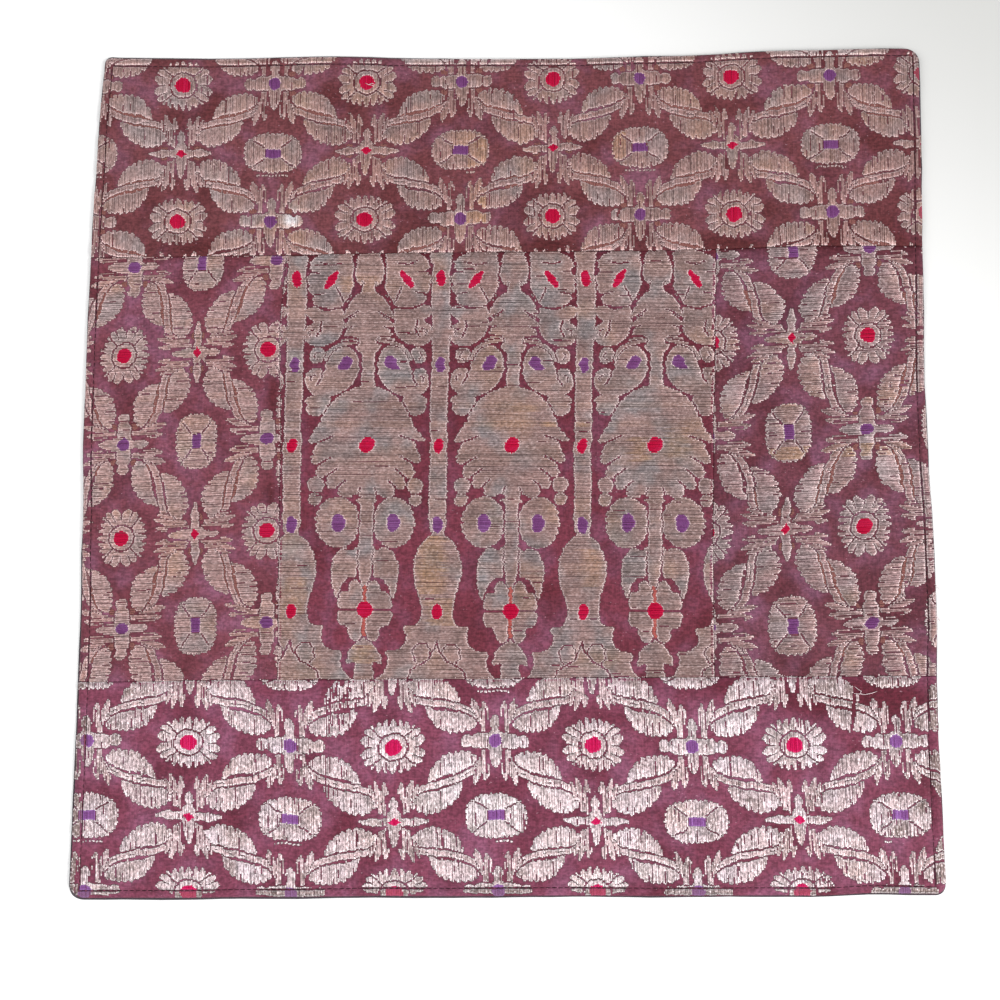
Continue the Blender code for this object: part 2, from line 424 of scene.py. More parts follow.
def face_height(x, y):
    """Height of the silk's face: waves, thick turned hems, sunken stitching and seams."""
    inside = outline_distance(x, y)
    hem = HEM_RISE * ridge(inside, *HEM_CREST)
    roll = np.clip(1 - inside / HEM_ROLL, 0, 1)
    rolled = HEM_DROP * (1 - np.sqrt(np.clip(1 - roll * roll, 0, 1)))
    stitched = STITCH_SINK * ridge(stitch_offset(x, y), 0, STITCH_REACH)
    pucker = PUCKER * np.sin(x / PUCKER_LENGTH[0] + y / PUCKER_LENGTH[1]) * ridge(inside, *PUCKER_BAND)
    seam = seam_distance(x, y)
    ditch = SEAM_SINK * np.exp(-seam / SEAM_REACH) - SEAM_RISE * ridge(seam, *SEAM_CREST)
    return FACE_HEIGHT + wave(x, y) + hem - rolled - stitched + pucker - ditch


def make_dyed_silk():
    """Old dyed silk: deep and bloomed clouds, streaks along both threads, pale flecks, stains and painted
    shade.
    """
    tree, entry, result = group_tree(
        "dyed silk", {"Silk": (0.2, 0.05, 0.1), "Deep": (0.1, 0.02, 0.04), "Bloom": (0.3, 0.1, 0.2),
                      "Deepening": 0.0, "Streak": 0.5}, {"Color": "NodeSocketColor"})
    deep = spread(tree, cloud(tree, 28.0, 3.5, shift=1.0), 0.44, 0.66)
    # The deep colour also shows where the mesh marks stains and painted shade.
    deep = calculate(tree, "MAXIMUM", times(tree, deep, 0.7), entry["Deepening"])
    bloom = spread(tree, cloud(tree, 15.0, 4.0, shift=5.0), 0.42, 0.68, 0.0, 0.8)
    silk = blend_colours(tree, bloom, entry["Silk"], entry["Bloom"])
    silk = blend_colours(tree, deep, silk, entry["Deep"])
    worn = spread(tree, entry["Streak"], 0.40, 0.62, 0.90, 1.12)
    grain = spread(tree, cloud(tree, 1.1, 4.0, across=0.7, shift=9.0), 0.34, 0.66, 0.74, 1.26)
    silk = blend_colours(tree, 1.0, silk, times(tree, worn, grain), "MULTIPLY")
    flecks = spread(tree, cloud(tree, 0.8, 1.0, across=0.6, shift=2.0), 0.70, 0.78, 0.0, 0.45)
    fill(tree, result["Color"], blend_colours(tree, flecks, silk, (0.52, 0.30, 0.36)))
    return tree


dyed_silk = make_dyed_silk()


def attribute(tree, name):
    """A number that the mesh holds at each of its points."""
    return add_node(tree, "Attribute", {}, attribute_name=name)["Fac"]


def ground_silk(name, silk, deep, bloom):
    """The silk between the motifs."""
    material, tree, shader = new_material(name, 0.55)
    weave = place_group(tree, plain_weave, Slub_Depth=0.8)
    colour = place_group(tree, dyed_silk, Silk=silk, Deep=deep, Bloom=bloom, Streak=weave["Streak"],
                         Deepening=attribute(tree, "deepening"))["Color"]
    fill(tree, shader.inputs["Base Color"], colour)
    fill(tree, shader.inputs["Normal"], bump_from(tree, weave["Height"], 0.7, 0.3))
    shader.inputs["Specular IOR Level"].default_value = 0.12
    return material


# Columns: the silk, where it is deep in dye and where stains and painted shade darken it, and where it has
# bloomed.
SILKS = {
    "top_border": ((0.141, 0.041, 0.048), (0.082, 0.017, 0.019), (0.196, 0.074, 0.116)),
    "bottom_border": ((0.174, 0.042, 0.074), (0.098, 0.014, 0.026), (0.228, 0.078, 0.138)),
    "left_border": ((0.153, 0.040, 0.057), (0.087, 0.016, 0.022), (0.214, 0.081, 0.137)),
    "right_border": ((0.129, 0.036, 0.051), (0.073, 0.014, 0.020), (0.184, 0.072, 0.122)),
    "centre": ((0.144, 0.029, 0.047), (0.085, 0.012, 0.018), (0.186, 0.064, 0.112)),
}
silks = {panel: ground_silk("brocade silk of " + panel.replace("_", " "), *colours)
         for panel, colours in SILKS.items()}

# Places where the silk is darker: stains, and painted shade beside the sunken seams. Columns: x, y, reach
# across, reach up, strength.
DARK_PLACES = (
    (-112, 32, 4, 16, 1.0), (-111.5, -16, 4, 12, 1.0), (168, -112, 42, 11, 1.5), (100, -106, 26, 6, 0.8),
    (195, 150, 14, 60, 0.5), (-60, -108, 26, 5, 0.6), (-20, -160, 12, 8, 0.3), (-20, 180, 9, 9, 0.7),
    (-112, 180, 10, 8, 0.5), (22, 108, 16, 5, 0.9), (-48, 107, 12, 5, 0.9), (165, 112, 28, 12, 0.9),
    (128, 125, 9, 7, 0.7), (84, 192, 9, 7, 0.6), (110, 108, 20, 5, 0.8), (-150, 108, 25, 6, 0.8),
    (104, -15, 7, 30, 0.6), (-70, 168, 6, 9, 0.4), (160, 178, 12, 8, 0.4),
)
# Painted shade along the sunken upper seam, and the silk darker high in the centre.
SEAM_SHADE = 0.55
SEAM_SHADE_REACH = 4.0
CENTRE_SHADE = 0.5
CENTRE_HALF = 103


def out_of(place, x, y):
    """How far out of a place each point lies: 0 at its middle, and 1 where it ends.

    The place has the columns x, y, reach across and reach up.
    """
    centre_x, centre_y, reach_x, reach_y = place
    return ((x - centre_x) / reach_x) ** 2 + ((y - centre_y) / reach_y) ** 2


def deepening(x, y):
    """Silk darkness: stains and painted shade at the marked places, painted shade along the upper seam, more
    high in the centre.
    """
    total = SEAM_SHADE * np.exp(-np.abs(y - edge_at(TOP_SEAM, x)) / SEAM_SHADE_REACH)
    in_centre = np.maximum(np.abs(x + 3), np.abs(y)) < CENTRE_HALF
    total = total + CENTRE_SHADE * np.clip((y + 25) / 50, 0, 1) * in_centre
    for *place, strength in DARK_PLACES:
        total = total + strength * np.exp(-out_of(place, x, y))
    return np.clip(total, 0, 1)


grounds = {}
for panel, node, slot, edges, hems, cut in PANELS:
    panel_ends = {side: "hem" if side in hems else "seam" for side in SIDES}
    ground_x, ground_y = cloth_grid(dict(zip(SIDES, edges)), panel_ends, SILK_STEP)
    turned = np.clip(outline_distance(ground_x, ground_y) / HEM_TURN, 0, 1) ** 0.7
    face = face_height(ground_x, ground_y)
    inner = FACE_HEIGHT - CLOTH_THICKNESS + wave(ground_x, ground_y)
    underside = UNDERSIDE + (inner - UNDERSIDE) * turned
    underside = np.minimum(underside, face - LEAST_THICKNESS)
    grounds[panel] = sheet_object(panel + "_silk", ground_x, ground_y, face, underside,
                                  {"deepening": deepening(ground_x, ground_y)})
    grounds[panel].data.materials.append(silks[panel])
    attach(grounds[panel], "root")
    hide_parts(node)

# The brocade of the borders
# Metal-wrapped thread floats over the silk in leaves, crosses, rosettes and ovals, with small dots
# of red and violet floss. It is woven in, so it repeats in both directions, mirrored each time.
LONG_HALF = 45.5
SHORT_HALF = 35.0
GROUND, METAL, ROSY, RED, VIOLET, EMBER = range(6)

# Outlines in a quarter of the repeat. Columns: distance from the violet cross along the repeat's
# long side, and across it. The red star is at the far corner.
NEAR_LEAF = ((8.4, 8.4), (9.4, 5.8), (12.6, 4.3), (16.6, 4.2), (20.8, 4.7), (24.8, 6.5), (27.6, 9.4),
             (29.8, 13.4), (30.6, 17.8), (26.8, 15.6), (22.6, 14.6), (18.0, 14.0), (13.4, 12.5), (10.2, 10.6))
FAR_LEAF = ((15.4, 18.8), (15.6, 22.2), (17.6, 25.8), (20.6, 28.6), (24.4, 30.8), (28.6, 32.1),
            (32.6, 31.8), (36.2, 29.8), (38.0, 28.0), (37.2, 25.2), (34.6, 22.8), (30.6, 21.8),
            (25.8, 21.3), (20.4, 20.2))
LEAF_TOOTH = 2.9
LEAF_TOOTH_DEPTH = 1.3
CROSS_ARM = ((-1, -1), (-1, 3.2), (4, 3.4), (8.6, 3.3), (10.4, 2.1), (12.2, 2.8), (14.2, 2.4), (15.1, 0),
             (13, -1))
CROSS_BUD = ((0, -1), (3.0, 0), (2.7, 3.2), (1.6, 5.2), (2.2, 8.4), (1.5, 10.6), (0, 12.0), (-1, 8))
CROSS_POINT = ((0, -1), (3.2, 0), (3.0, 4.0), (2.5, 7.5), (1.8, 10.2), (0, 12.6), (-1, 8))
STAR_BUD = ((0, -1), (2.6, 0), (2.9, 3.4), (1.3, 5.8), (2.0, 8.0), (1.3, 10.0), (0, 11.6), (-1, 8))
STAR_POINT = ((0, -1), (2.6, 0), (2.5, 4.4), (1.7, 8.6), (1.0, 11.2), (0, 12.4), (-1, 8))

# Strokes. Columns: along, across and half the width there.
LEAF_STEM = ((6.4, 8.4, 0.9), (7.4, 10.6, 1.1), (9.2, 12.8, 1.3), (11.6, 14.4, 1.4), (14.6, 15.9, 1.4),
             (18.6, 17.2, 1.45), (23.4, 18.2, 1.45), (28.6, 18.9, 1.45), (33.0, 19.8, 1.4), (36.0, 21.2, 1.3),
             (38.4, 23.6, 1.2), (40.0, 27.0, 1.1), (41.0, 30.4, 0.8))
LEAF_SHADOWS = (
    ((10.8, 11.9, 0.25), (14.0, 13.4, 0.5), (19.0, 15.0, 0.75), (24.0, 15.8, 0.75), (29.4, 17.2, 0.3)),
    ((17.6, 19.2, 0.2), (22.0, 20.2, 0.3), (28.0, 20.8, 0.3), (33.6, 21.9, 0.25)),
)
# The same shadows' round spots. Columns: along, across, reach along, reach across.
SHADOW_SPOTS = ((8.7, 4.9, 1.5, 1.5), (37.2, 32.4, 1.6, 0.7))
# How far the ground shows beside the stem and the tufts' strokes, how far the tufts spread past
# theirs, and half the width of the stem's split.
STEM_RIM = 0.6
TUFT_RIM = 0.42
TUFT_SPREAD = 0.12
STEM_SPLIT = 0.22
TUFTS = (
    ((9.6, 20.0, 0.3), (9.0, 17.2, 1.35), (8.1, 14.6, 1.35), (6.9, 11.6, 1.2), (6.0, 8.2, 1.0)),
    ((4.7, 17.8, 0.5), (4.3, 14.8, 1.5), (4.4, 11.0, 1.4), (5.1, 7.0, 1.25), (5.4, 3.8, 1.1)),
    ((39.6, 29.8, 0.9), (39.4, 24.6, 1.3), (38.6, 20.4, 1.5), (37.4, 15.9, 0.4)),
    ((37.2, 24.6, 0.6), (36.2, 21.2, 0.9), (35.2, 18.0, 0.3)),
    ((42.2, 31.2, 0.9), (41.8, 25.4, 1.3), (42.0, 20.8, 1.4), (41.8, 17.0, 0.4)),
)
STAR_SPIKE = ((43.0, 35.0, 2.0), (39.0, 35.0, 1.6), (36.5, 35.0, 2.1), (34.0, 35.0, 1.4), (31.0, 35.0, 0.7))
ROSETTE_DOT = 3.8
ROSETTE_RING = (6.0, 6.9)
# A rosette's side petal and the dark lines between its petals, counted from the red dot.
ROSETTE_SIDE = ((4.0, 0.1), (11.0, 0.1), (12.6, 1.2), (14.2, 3.2), (13.0, 4.8), (11.6, 5.4), (12.6, 6.6),
                (11.9, 7.9), (10.2, 7.9), (8.9, 8.4), (4.0, 6.0))
ROSETTE_SLITS = (((8.2, 3.6, 0.15), (12.4, 5.4, 0.4)), ((8.6, 0.0, 0.15), (12.0, 0.0, 0.45)),
                 ((2.0, 8.2, 0.15), (2.2, 11.0, 0.3)))
# A rosette's diagonals: their slope and half width. Its petals: how high they reach, how fast they
# fall to the side, and a tooth's width and depth. Then how much its rings are flattened.
ROSETTE_SLOPE = 0.86
ROSETTE_GAP = 0.5
ROSETTE_TIP = 12.2
ROSETTE_FALL = 0.028
ROSETTE_TOOTH = (3.2, 3.0)
ROSETTE_FLATNESS = 1.04
ROSETTE_REACH = (15, 14)
OVAL_REACH = (16, 14)
OVAL_SIZE = (14.2, 10.5)
OVAL_SQUARENESS = 2.5
# Columns: the width and depth of an edge's teeth, and how far along it they go.
OVAL_TEETH = {"upper": (2.3, 1.1, 11), "outer": (2.7, 1.0, 7)}
# The row of stitches beside the oval: how far it goes, its lower and upper edge, and a stitch's pitch.
OVAL_DASHES = (7.4, 11.4, 12.2, 1.7)
DASH_SHARE = 0.45
# The violet oblong's half width and top, and the dark line beside it: how far off, and half its width.
OVAL_FRAME = (3.5, 2.2)
FRAME_LINE = (0.35, 0.3)
OVAL_DIAGONAL = ((4.2, 3.0, 0.42), (9.4, 6.7, 0.42))
CROSS_GAPS = (((3.9, 3.8, 0.45), (3.9, 15.0, 0.45)), ((3.9, 3.9, 0.4), (12.5, 3.5, 0.4)))
CROSS_DOT = 2.9
CROSS_FLATNESS = 0.94
STAR_DOT = (2.8, 2.1)
# The ground left free round the star: how far to the side, and from where to where up it.
STAR_CLEARING = (3.4, 1.5, 13)
SPIKE_RIM = 0.5


HILL_CELLS = 64
HILL_SHIFT = (31.3, 27.7)


def random_cloud(x, y, size, seed):
    """Soft random hills of about a size in millimetres, from -1 to 1."""
    heights = np.random.default_rng(seed).uniform(-1, 1, (HILL_CELLS, HILL_CELLS))
    column, row = x / size + HILL_SHIFT[0], y / size + HILL_SHIFT[1]
    low_column, low_row = np.floor(column).astype(int), np.floor(row).astype(int)
    share_x, share_y = column - low_column, row - low_row
    share_x, share_y = (share * share * (3 - 2 * share) for share in (share_x, share_y))

    def height(step_x, step_y):
        return heights[(low_row + step_y) % HILL_CELLS, (low_column + step_x) % HILL_CELLS]

    lower = height(0, 0) * (1 - share_x) + height(1, 0) * share_x
    upper = height(0, 1) * (1 - share_x) + height(1, 1) * share_x
    return lower * (1 - share_y) + upper * share_y


def smooth_outline(points, steps=4):
    """A closed line through the points, rounded between them."""
    at = np.asarray(points, float)
    before, after, later = np.roll(at, 1, 0), np.roll(at, -1, 0), np.roll(at, -2, 0)
    t = (np.arange(steps) / steps)[None, :, None]
    before, at, after, later = (p[:, None] for p in (before, at, after, later))
    line = at + 0.5 * t * (after - before)
    line = line + 0.5 * t ** 2 * (2 * before - 5 * at + 4 * after - later)
    line = line + 0.5 * t ** 3 * (3 * (at - after) + later - before)
    return line.reshape(-1, 2)


def within(points, u, v):
    """Whether each place lies inside the smooth outline through the points."""
    line = smooth_outline(points)
    low, high = line.min(0), line.max(0)
    near = (u > low[0]) & (u < high[0]) & (v > low[1]) & (v < high[1])
    near_u, near_v = u[near], v[near]
    odd = np.zeros(near_u.shape, bool)
    for (u0, v0), (u1, v1) in zip(line, np.roll(line, -1, 0)):
        if v0 != v1:
            passed = (v0 > near_v) != (v1 > near_v)
            odd ^= passed & (near_u < u0 + (near_v - v0) * (u1 - u0) / (v1 - v0))
    result = np.zeros(u.shape, bool)
    result[near] = odd
    return result


def on_stroke(points, u, v, wider=0.0):
    """Whether each place lies on a stroke, whose points have half its width as third number."""
    rows = np.asarray(points, float)
    reach = rows[:, 2].max() + wider
    low, high = rows[:, :2].min(0) - reach, rows[:, :2].max(0) + reach
    near = (u > low[0]) & (u < high[0]) & (v > low[1]) & (v < high[1])
    near_u, near_v = u[near], v[near]
    covered = np.zeros(near_u.shape, bool)
    for (u0, v0, half0), (u1, v1, half1) in zip(rows, rows[1:]):
        run_u, run_v = u1 - u0, v1 - v0
        share = ((near_u - u0) * run_u + (near_v - v0) * run_v) / (run_u ** 2 + run_v ** 2)
        share = np.clip(share, 0, 1)
        away = np.hypot(near_u - u0 - share * run_u, near_v - v0 - share * run_v)
        covered |= away < half0 + (half1 - half0) * share + wider
    result = np.zeros(u.shape, bool)
    result[near] = covered
    return result


def teeth(place, width):
    """0 in the middle of each rounded tooth and 1 in the notches between them."""
    return 1 - np.abs(np.cos(math.pi * place / width))


def paint_rosette(cloth, u, v):
    """A ring round a red dot, and four groups of pointed petals between dark diagonal lines."""
    w, h = LONG_HALF - u, v
    near = (w < ROSETTE_REACH[0]) & (h < ROSETTE_REACH[1])
    radius = np.hypot(w, h * ROSETTE_FLATNESS)
    width, depth = ROSETTE_TOOTH
    tips = ROSETTE_TIP - ROSETTE_FALL * w * w - depth * teeth(w, width)
    petals = (h > ROSETTE_SLOPE * w) & (h < tips)
    cloth[near & (petals | within(ROSETTE_SIDE, w, h))] = METAL
    beyond_ring = radius > ROSETTE_RING[0]
    cloth[near & (np.abs(h - ROSETTE_SLOPE * w) < ROSETTE_GAP) & beyond_ring] = GROUND
    for slit in ROSETTE_SLITS:
        cloth[on_stroke(slit, w, h)] = GROUND
    cloth[near & beyond_ring & (radius < ROSETTE_RING[1])] = GROUND
    cloth[radius < ROSETTE_RING[0]] = METAL
    cloth[radius < ROSETTE_DOT] = RED


def toothed(distance, along, tooth):
    """A distance from the oval's middle, made larger at each notch of the edge that it is taken to."""
    width, depth, reach = tooth
    return np.maximum(distance, 0) + depth * teeth(along, width) * (along < reach)


def paint_oval(cloth, u, v, dashed):
    """An oval with a toothed edge, crossed by dark diagonals, round a small violet oblong.

    Where the cloth is dashed, a row of short stitches lies beside the oval.
    """
    w, h = u, SHORT_HALF - v
    near = (w < OVAL_REACH[0]) & (h < OVAL_REACH[1])
    wide = toothed(w, h, OVAL_TEETH["outer"]) / OVAL_SIZE[0]
    tall = toothed(h, w, OVAL_TEETH["upper"]) / OVAL_SIZE[1]
    cloth[near & (wide ** OVAL_SQUARENESS + tall ** OVAL_SQUARENESS < 1)] = METAL
    reach, low, high, pitch = OVAL_DASHES
    dashes = (w < reach) & (h > low) & (h < high) & (teeth(w, pitch) < DASH_SHARE)
    cloth[near & dashes & dashed] = METAL
    cloth[on_stroke(OVAL_DIAGONAL, w, h)] = GROUND
    frame_side, frame_top = OVAL_FRAME
    away, half = FRAME_LINE
    cloth[near & (np.abs(w - frame_side - away) < half) & (h < frame_top)] = GROUND
    cloth[near & (w < frame_side) & (h < frame_top)] = VIOLET


def paint_crosses(cloth, u, v, above):
    """The violet-dotted cross, and at the far corner the red-dotted star."""
    for gap in CROSS_GAPS:
        cloth[on_stroke(gap, u, v)] = GROUND
    cloth[within(CROSS_ARM, u, v)] = METAL
    cloth[above & within(CROSS_BUD, u, v)] = METAL
    cloth[~above & within(CROSS_POINT, u, v)] = METAL
    cloth[np.hypot(u, v * CROSS_FLATNESS) < CROSS_DOT] = VIOLET
    w, h = LONG_HALF - u, SHORT_HALF - v
    reach, low, high = STAR_CLEARING
    cloth[(w < reach) & (h < high) & (h > low)] = GROUND
    cloth[on_stroke(STAR_SPIKE, u, v, SPIKE_RIM)] = GROUND
    cloth[on_stroke(STAR_SPIKE, u, v)] = METAL
    cloth[above & within(STAR_BUD, w, h)] = METAL
    cloth[~above & within(STAR_POINT, w, h)] = METAL
    cloth[w / STAR_DOT[0] + h / STAR_DOT[1] < 1] = RED


def border_cloth(u, v, above, patchy, fine, dashed):
    """What the borders' cloth shows at each place of the quarter repeat.

    patchy and fine are large and small random hills, by which the repeats differ from each other.
    """
    cloth = np.full(u.shape, GROUND, np.int8)
    stem_line = edge_at([row[:2] for row in LEAF_STEM], u)
    notch = teeth(u, LEAF_TOOTH)
    scallop = LEAF_TOOTH_DEPTH * notch * np.clip(np.abs(v - stem_line) / 6.0 - 0.3, 0, 1)
    scallop = scallop + (notch > 0.72) * np.clip(3.0 * fine, 0, 3.4)
    cloth[within(NEAR_LEAF, u, v - scallop)] = METAL
    cloth[within(FAR_LEAF, u, v + scallop)] = METAL
    stem = on_stroke(LEAF_STEM, u, v)
    cloth[on_stroke(LEAF_STEM, u, v, STEM_RIM) & ~stem] = GROUND
    shadow = np.minimum.reduce([out_of(spot, u, v) for spot in SHADOW_SPOTS]) < 1
    for line in LEAF_SHADOWS:
        shadow |= on_stroke(line, u, v)
    cloth[shadow & (patchy > -0.25) & (cloth == GROUND)] = EMBER
    cloth[stem] = ROSY
    split = [(a, b, STEM_SPLIT) for a, b, _ in LEAF_STEM[2:10]]
    cloth[on_stroke(split, u, v) & (fine > 0.4)] = GROUND
    for tuft in TUFTS:
        body = on_stroke(tuft, u, v, TUFT_SPREAD)
        cloth[on_stroke(tuft, u, v, TUFT_RIM) & ~body] = GROUND
        cloth[body] = ROSY
    paint_rosette(cloth, u, v)
    paint_oval(cloth, u, v, (patchy > -0.4) & ~above & dashed)
    paint_crosses(cloth, u, v, above)
    return cloth


def fold(place, lines, half):
    """How far each place lies from the repeat's even lines, and whether it is above its nearest one."""
    lines = np.stack([np.broadcast_to(line, place.shape) for line in lines])
    row = np.clip((place[None] >= lines).sum(0) - 1, 0, len(lines) - 2)
    low = np.take_along_axis(lines, row[None], 0)[0]
    high = np.take_along_axis(lines, row[None] + 1, 0)[0]
    share = (place - low) / (high - low)
    return np.where(row % 2 == 0, share, 1 - share) * half, share < 0.5


# Where the repeat's lines lie in each border. The threads run upright in the top and bottom border
# and level at the sides. lines_along and lines_across start with a line of the violet crosses.
# lean is how far a thread drifts for each millimetre of its length, which is counted from origin.
# span is the first and last thread's place, and where threads start and stop.
BORDER_REPEATS = {
    "top_border": {
        "upright": True, "lean": 0.0, "origin": 150.0, "span": (-206, 207, 100, 207),
        "along": (-207.7, -161.1, -114.9, -68.2, -21.0, 24.1, 67.0, 112.5, 160.9, 205.5),
        "across": (((-205, 50), (205, 52)), ((-205, 85), (205, 87)), ((-205, 119.6), (205, 122.8)),
                   ((-205, 154.8), (205, 157.4)), ((-205, 190.4), (205, 192.8)), ((-205, 226), (205, 228))),
    },
    "bottom_border": {
        "upright": True, "lean": -0.031, "origin": -134.0, "span": (-207, 208, -208, -100),
        "along": (-292.0, -244.0, -196.0, -147.2, -99.5, -50.5, -2.5, 43.5, 89.6, 137.3, 183.5, 230.0),
        "across": (((-205, -203.4), (-97, -203.0), (0, -201.2), (205, -199.5)),
                   ((-196, -168.8), (-147, -168.3), (-99.5, -169.7), (-50.5, -170.5), (-2.5, -166.8),
                    (43.5, -168.7), (89.6, -169.0), (137.3, -167.5), (183.5, -165.1)),
                   ((-196, -133.7), (-147, -133.9), (-99.5, -135.5), (-50.5, -136.1), (-2.5, -132.5),
                    (43.5, -134.0), (89.6, -134.6), (137.3, -133.3), (183.5, -131.0)),
                   ((-205, -99.5), (205, -96.5)), ((-205, -64), (205, -62))),
    },
    "left_border": {
        "upright": False, "lean": 0.045, "origin": -149.0, "span": (-112, 112, -206, -104),
        "along": (-171.0, -125.0, -79.5, -35.7, 9.9, 53.7, 98.7, 144.0),
        "across": (((-81, -254), (97, -256)), ((-81, -217), (97, -220)),
                   ((-81, -181.3), (-38, -183.3), (8, -183.9), (52, -185.3), (97, -181.2)),
                   ((-81, -145.9), (-36, -147.6), (8, -148.4), (52, -149.7), (97, -148.5)),
                   ((-78, -111.6), (-34, -113.0), (12, -114.0), (55, -114.9), (100, -110.9)),
                   ((-81, -77), (97, -77))),
    },
    "right_border": {
        "upright": False, "lean": 0.05, "origin": 156.0, "span": (-112, 112, 99, 206),
        "along": (-168.0, -123.0, -77.0, -31.7, 15.0, 61.0, 104.0, 150.0),
        "across": (((-81, 64), (97, 67)), ((-78, 65), (97, 68)),
                   ((-78, 97.2), (-35.6, 97.0), (15, 98.4), (57.6, 100.5), (103, 101.2)),
                   ((-78, 137.4), (-33, 134.8), (14.4, 137.4), (60, 139.5), (103, 140.9)),
                   ((-76, 174.0), (-30.5, 171.6), (16, 173.7), (62, 176.0), (105, 177.6)),
                   ((-78, 209.0), (103, 213.0))),
    },
}
THREAD_PITCH = 0.62
SAMPLE_STEP = 0.25
# How far the floats stay from the cover's edge and from the middle of the stitching.
EDGE_CLEARANCE = 0.25
STITCH_CLEARANCE = 0.45
# How uneven the pattern's edges are, from thread to thread and from group to group.
UNEVENNESS = (0.13, 0.16)
# How the pattern is pulled about. Columns: how far, over what length, and the draw of the hills.
LINE_PULL = ((0.55, 16, 1), (0.18, 3.1, 5))
END_PULL = ((0.55, 19, 2), (0.24, 2.6, 6))
# How far apart a float's stations lie at most: on the flat, by a seam and by a hem.
FLOAT_STEP = 4.6
SEAM_FLOAT_STEP = 2.2
HEM_FLOAT_STEP = 1.1
# How near to a hem or a seam counts as by it, from a float's end.
HEM_NEARNESS = 6
SEAM_NEARNESS = 2
# How far a float's end goes under the silk, how much of its length turns down, and how uneven it is.
END_TUCK = 0.34
END_TURN = 0.42
END_UNEVENNESS = 0.12
SHORTEST_FLOAT = 0.45
# Floats at least this long may be broken. Then the gap's share of the float, and its length.
LONG_FLOAT = 3.5
GAP_PART = (0.2, 0.8)
GAP_LENGTH = (1.5, 8.0)
# How a float sways to both sides: how far, over what length, the shift from thread to thread, and how
# far one float lies beside its line.
SWAY = 0.07
SWAY_LENGTH = 5.3
SWAY_SHIFT = 2.4
ASIDE = 0.04
# Heights above the silk: a float's turned end, its edge, its edge at an end, and its crest's
# unevenness. Then the share of its width that an end has.
END_RISE = 0.02
EDGE_RISE = 0.03
END_SINK = -0.06
CREST_UNEVENNESS = 0.02
END_WIDTH = 0.9
# The share of floats worn thin, and how wide those and the others are, as shares of the full width.
THIN_SHARE = 0.12
THIN_WIDTH = (0.55, 0.8)
USUAL_WIDTH = (0.92, 1.05)
# How much floats differ in height and in tone, and the size of a patch of like tone.
CROWN_SPREAD = 0.04
TONE_SPREAD = 0.14
TONE_PATCH = 6


def thread_field(panel, low_line, high_line, low_end, high_end, lean, origin, upright, seed):
    """The threads that cross a panel, and the places along each of them, in millimetres."""
    rng = np.random.default_rng(seed)
    lines = np.arange(low_line, high_line, THREAD_PITCH)
    lines = lines + rng.uniform(-0.07, 0.07, len(lines))
    ends = np.arange(low_end, high_end, SAMPLE_STEP)
    line, end = np.meshgrid(lines, ends, indexing="ij")
    drifted = line + lean * (end - origin)
    x, y = (drifted, end) if upright else (end, drifted)
    return {"panel": panel, "rng": rng, "lines": lines, "ends": ends, "line": line, "end": end,
            "x": x, "y": y, "lean": lean, "origin": origin, "upright": upright, "seed": seed}


def in_panel(panel, x, y):
    """Whether each place lies on the panel, a little inside its seams and the cover's edge."""
    above_top, below_bottom = y - edge_at(TOP_SEAM, x), edge_at(BOTTOM_SEAM, x) - y
    left_of, right_of = edge_at(LEFT_SEAM, y) - x, x - edge_at(RIGHT_SEAM, y)
    between = np.maximum(above_top, below_bottom) < -SEAM_EDGE
    inside = {
        "top_border": above_top > SEAM_EDGE,
        "bottom_border": below_bottom > SEAM_EDGE,
        "left_border": between & (left_of > SEAM_EDGE),
        "right_border": between & (right_of > SEAM_EDGE),
        "centre": between & (np.maximum(left_of, right_of) < -SEAM_EDGE),
    }
    return inside[panel] & (outline_distance(x, y) > EDGE_CLEARANCE)


def pulled(field, place, pulls):
    """Places moved a little by random hills, so that no two repeats are alike."""
    for height, size, draw in pulls:
        place = place + height * random_cloud(field["x"], field["y"], size, field["seed"] + draw)
    return place


def uneven_ends(field, single, grouped):
    """How far each thread's ends are shifted, thread by thread and in small groups."""
    count = len(field["lines"])
    own = field["rng"].normal(0, single, count)
    shared = np.repeat(field["rng"].normal(0, grouped, count // 4 + 1), 4)[:count]
    return (own + shared)[:, None]


def border_field(panel, seed):
    """The threads of one border and what each shows at each place."""
    repeat = BORDER_REPEATS[panel]
    field = thread_field(panel, *repeat["span"], repeat["lean"], repeat["origin"], repeat["upright"], seed)
    x, y = field["x"], field["y"]
    line = pulled(field, field["line"], LINE_PULL)
    end = pulled(field, field["end"], END_PULL) + uneven_ends(field, *UNEVENNESS)
    across = [edge_at(table, line) for table in repeat["across"]]
    u, _ = fold(line, repeat["along"], LONG_HALF)
    v, above = fold(end, across, SHORT_HALF)
    patchy = random_cloud(x, y, 30, seed + 3) - (np.abs(y - edge_at(BOTTOM_SEAM, x)) < 9)
    cloth = border_cloth(u, v, above, patchy, random_cloud(x, y, 2.4, seed + 7), repeat["upright"])
    if panel == "bottom_border":
        cloth[cloth == EMBER] = GROUND
    cloth[~in_panel(panel, x, y) | (np.abs(stitch_offset(x, y)) < STITCH_CLEARANCE)] = GROUND
    field["cloth"] = cloth
    wear_away(field)
    return field


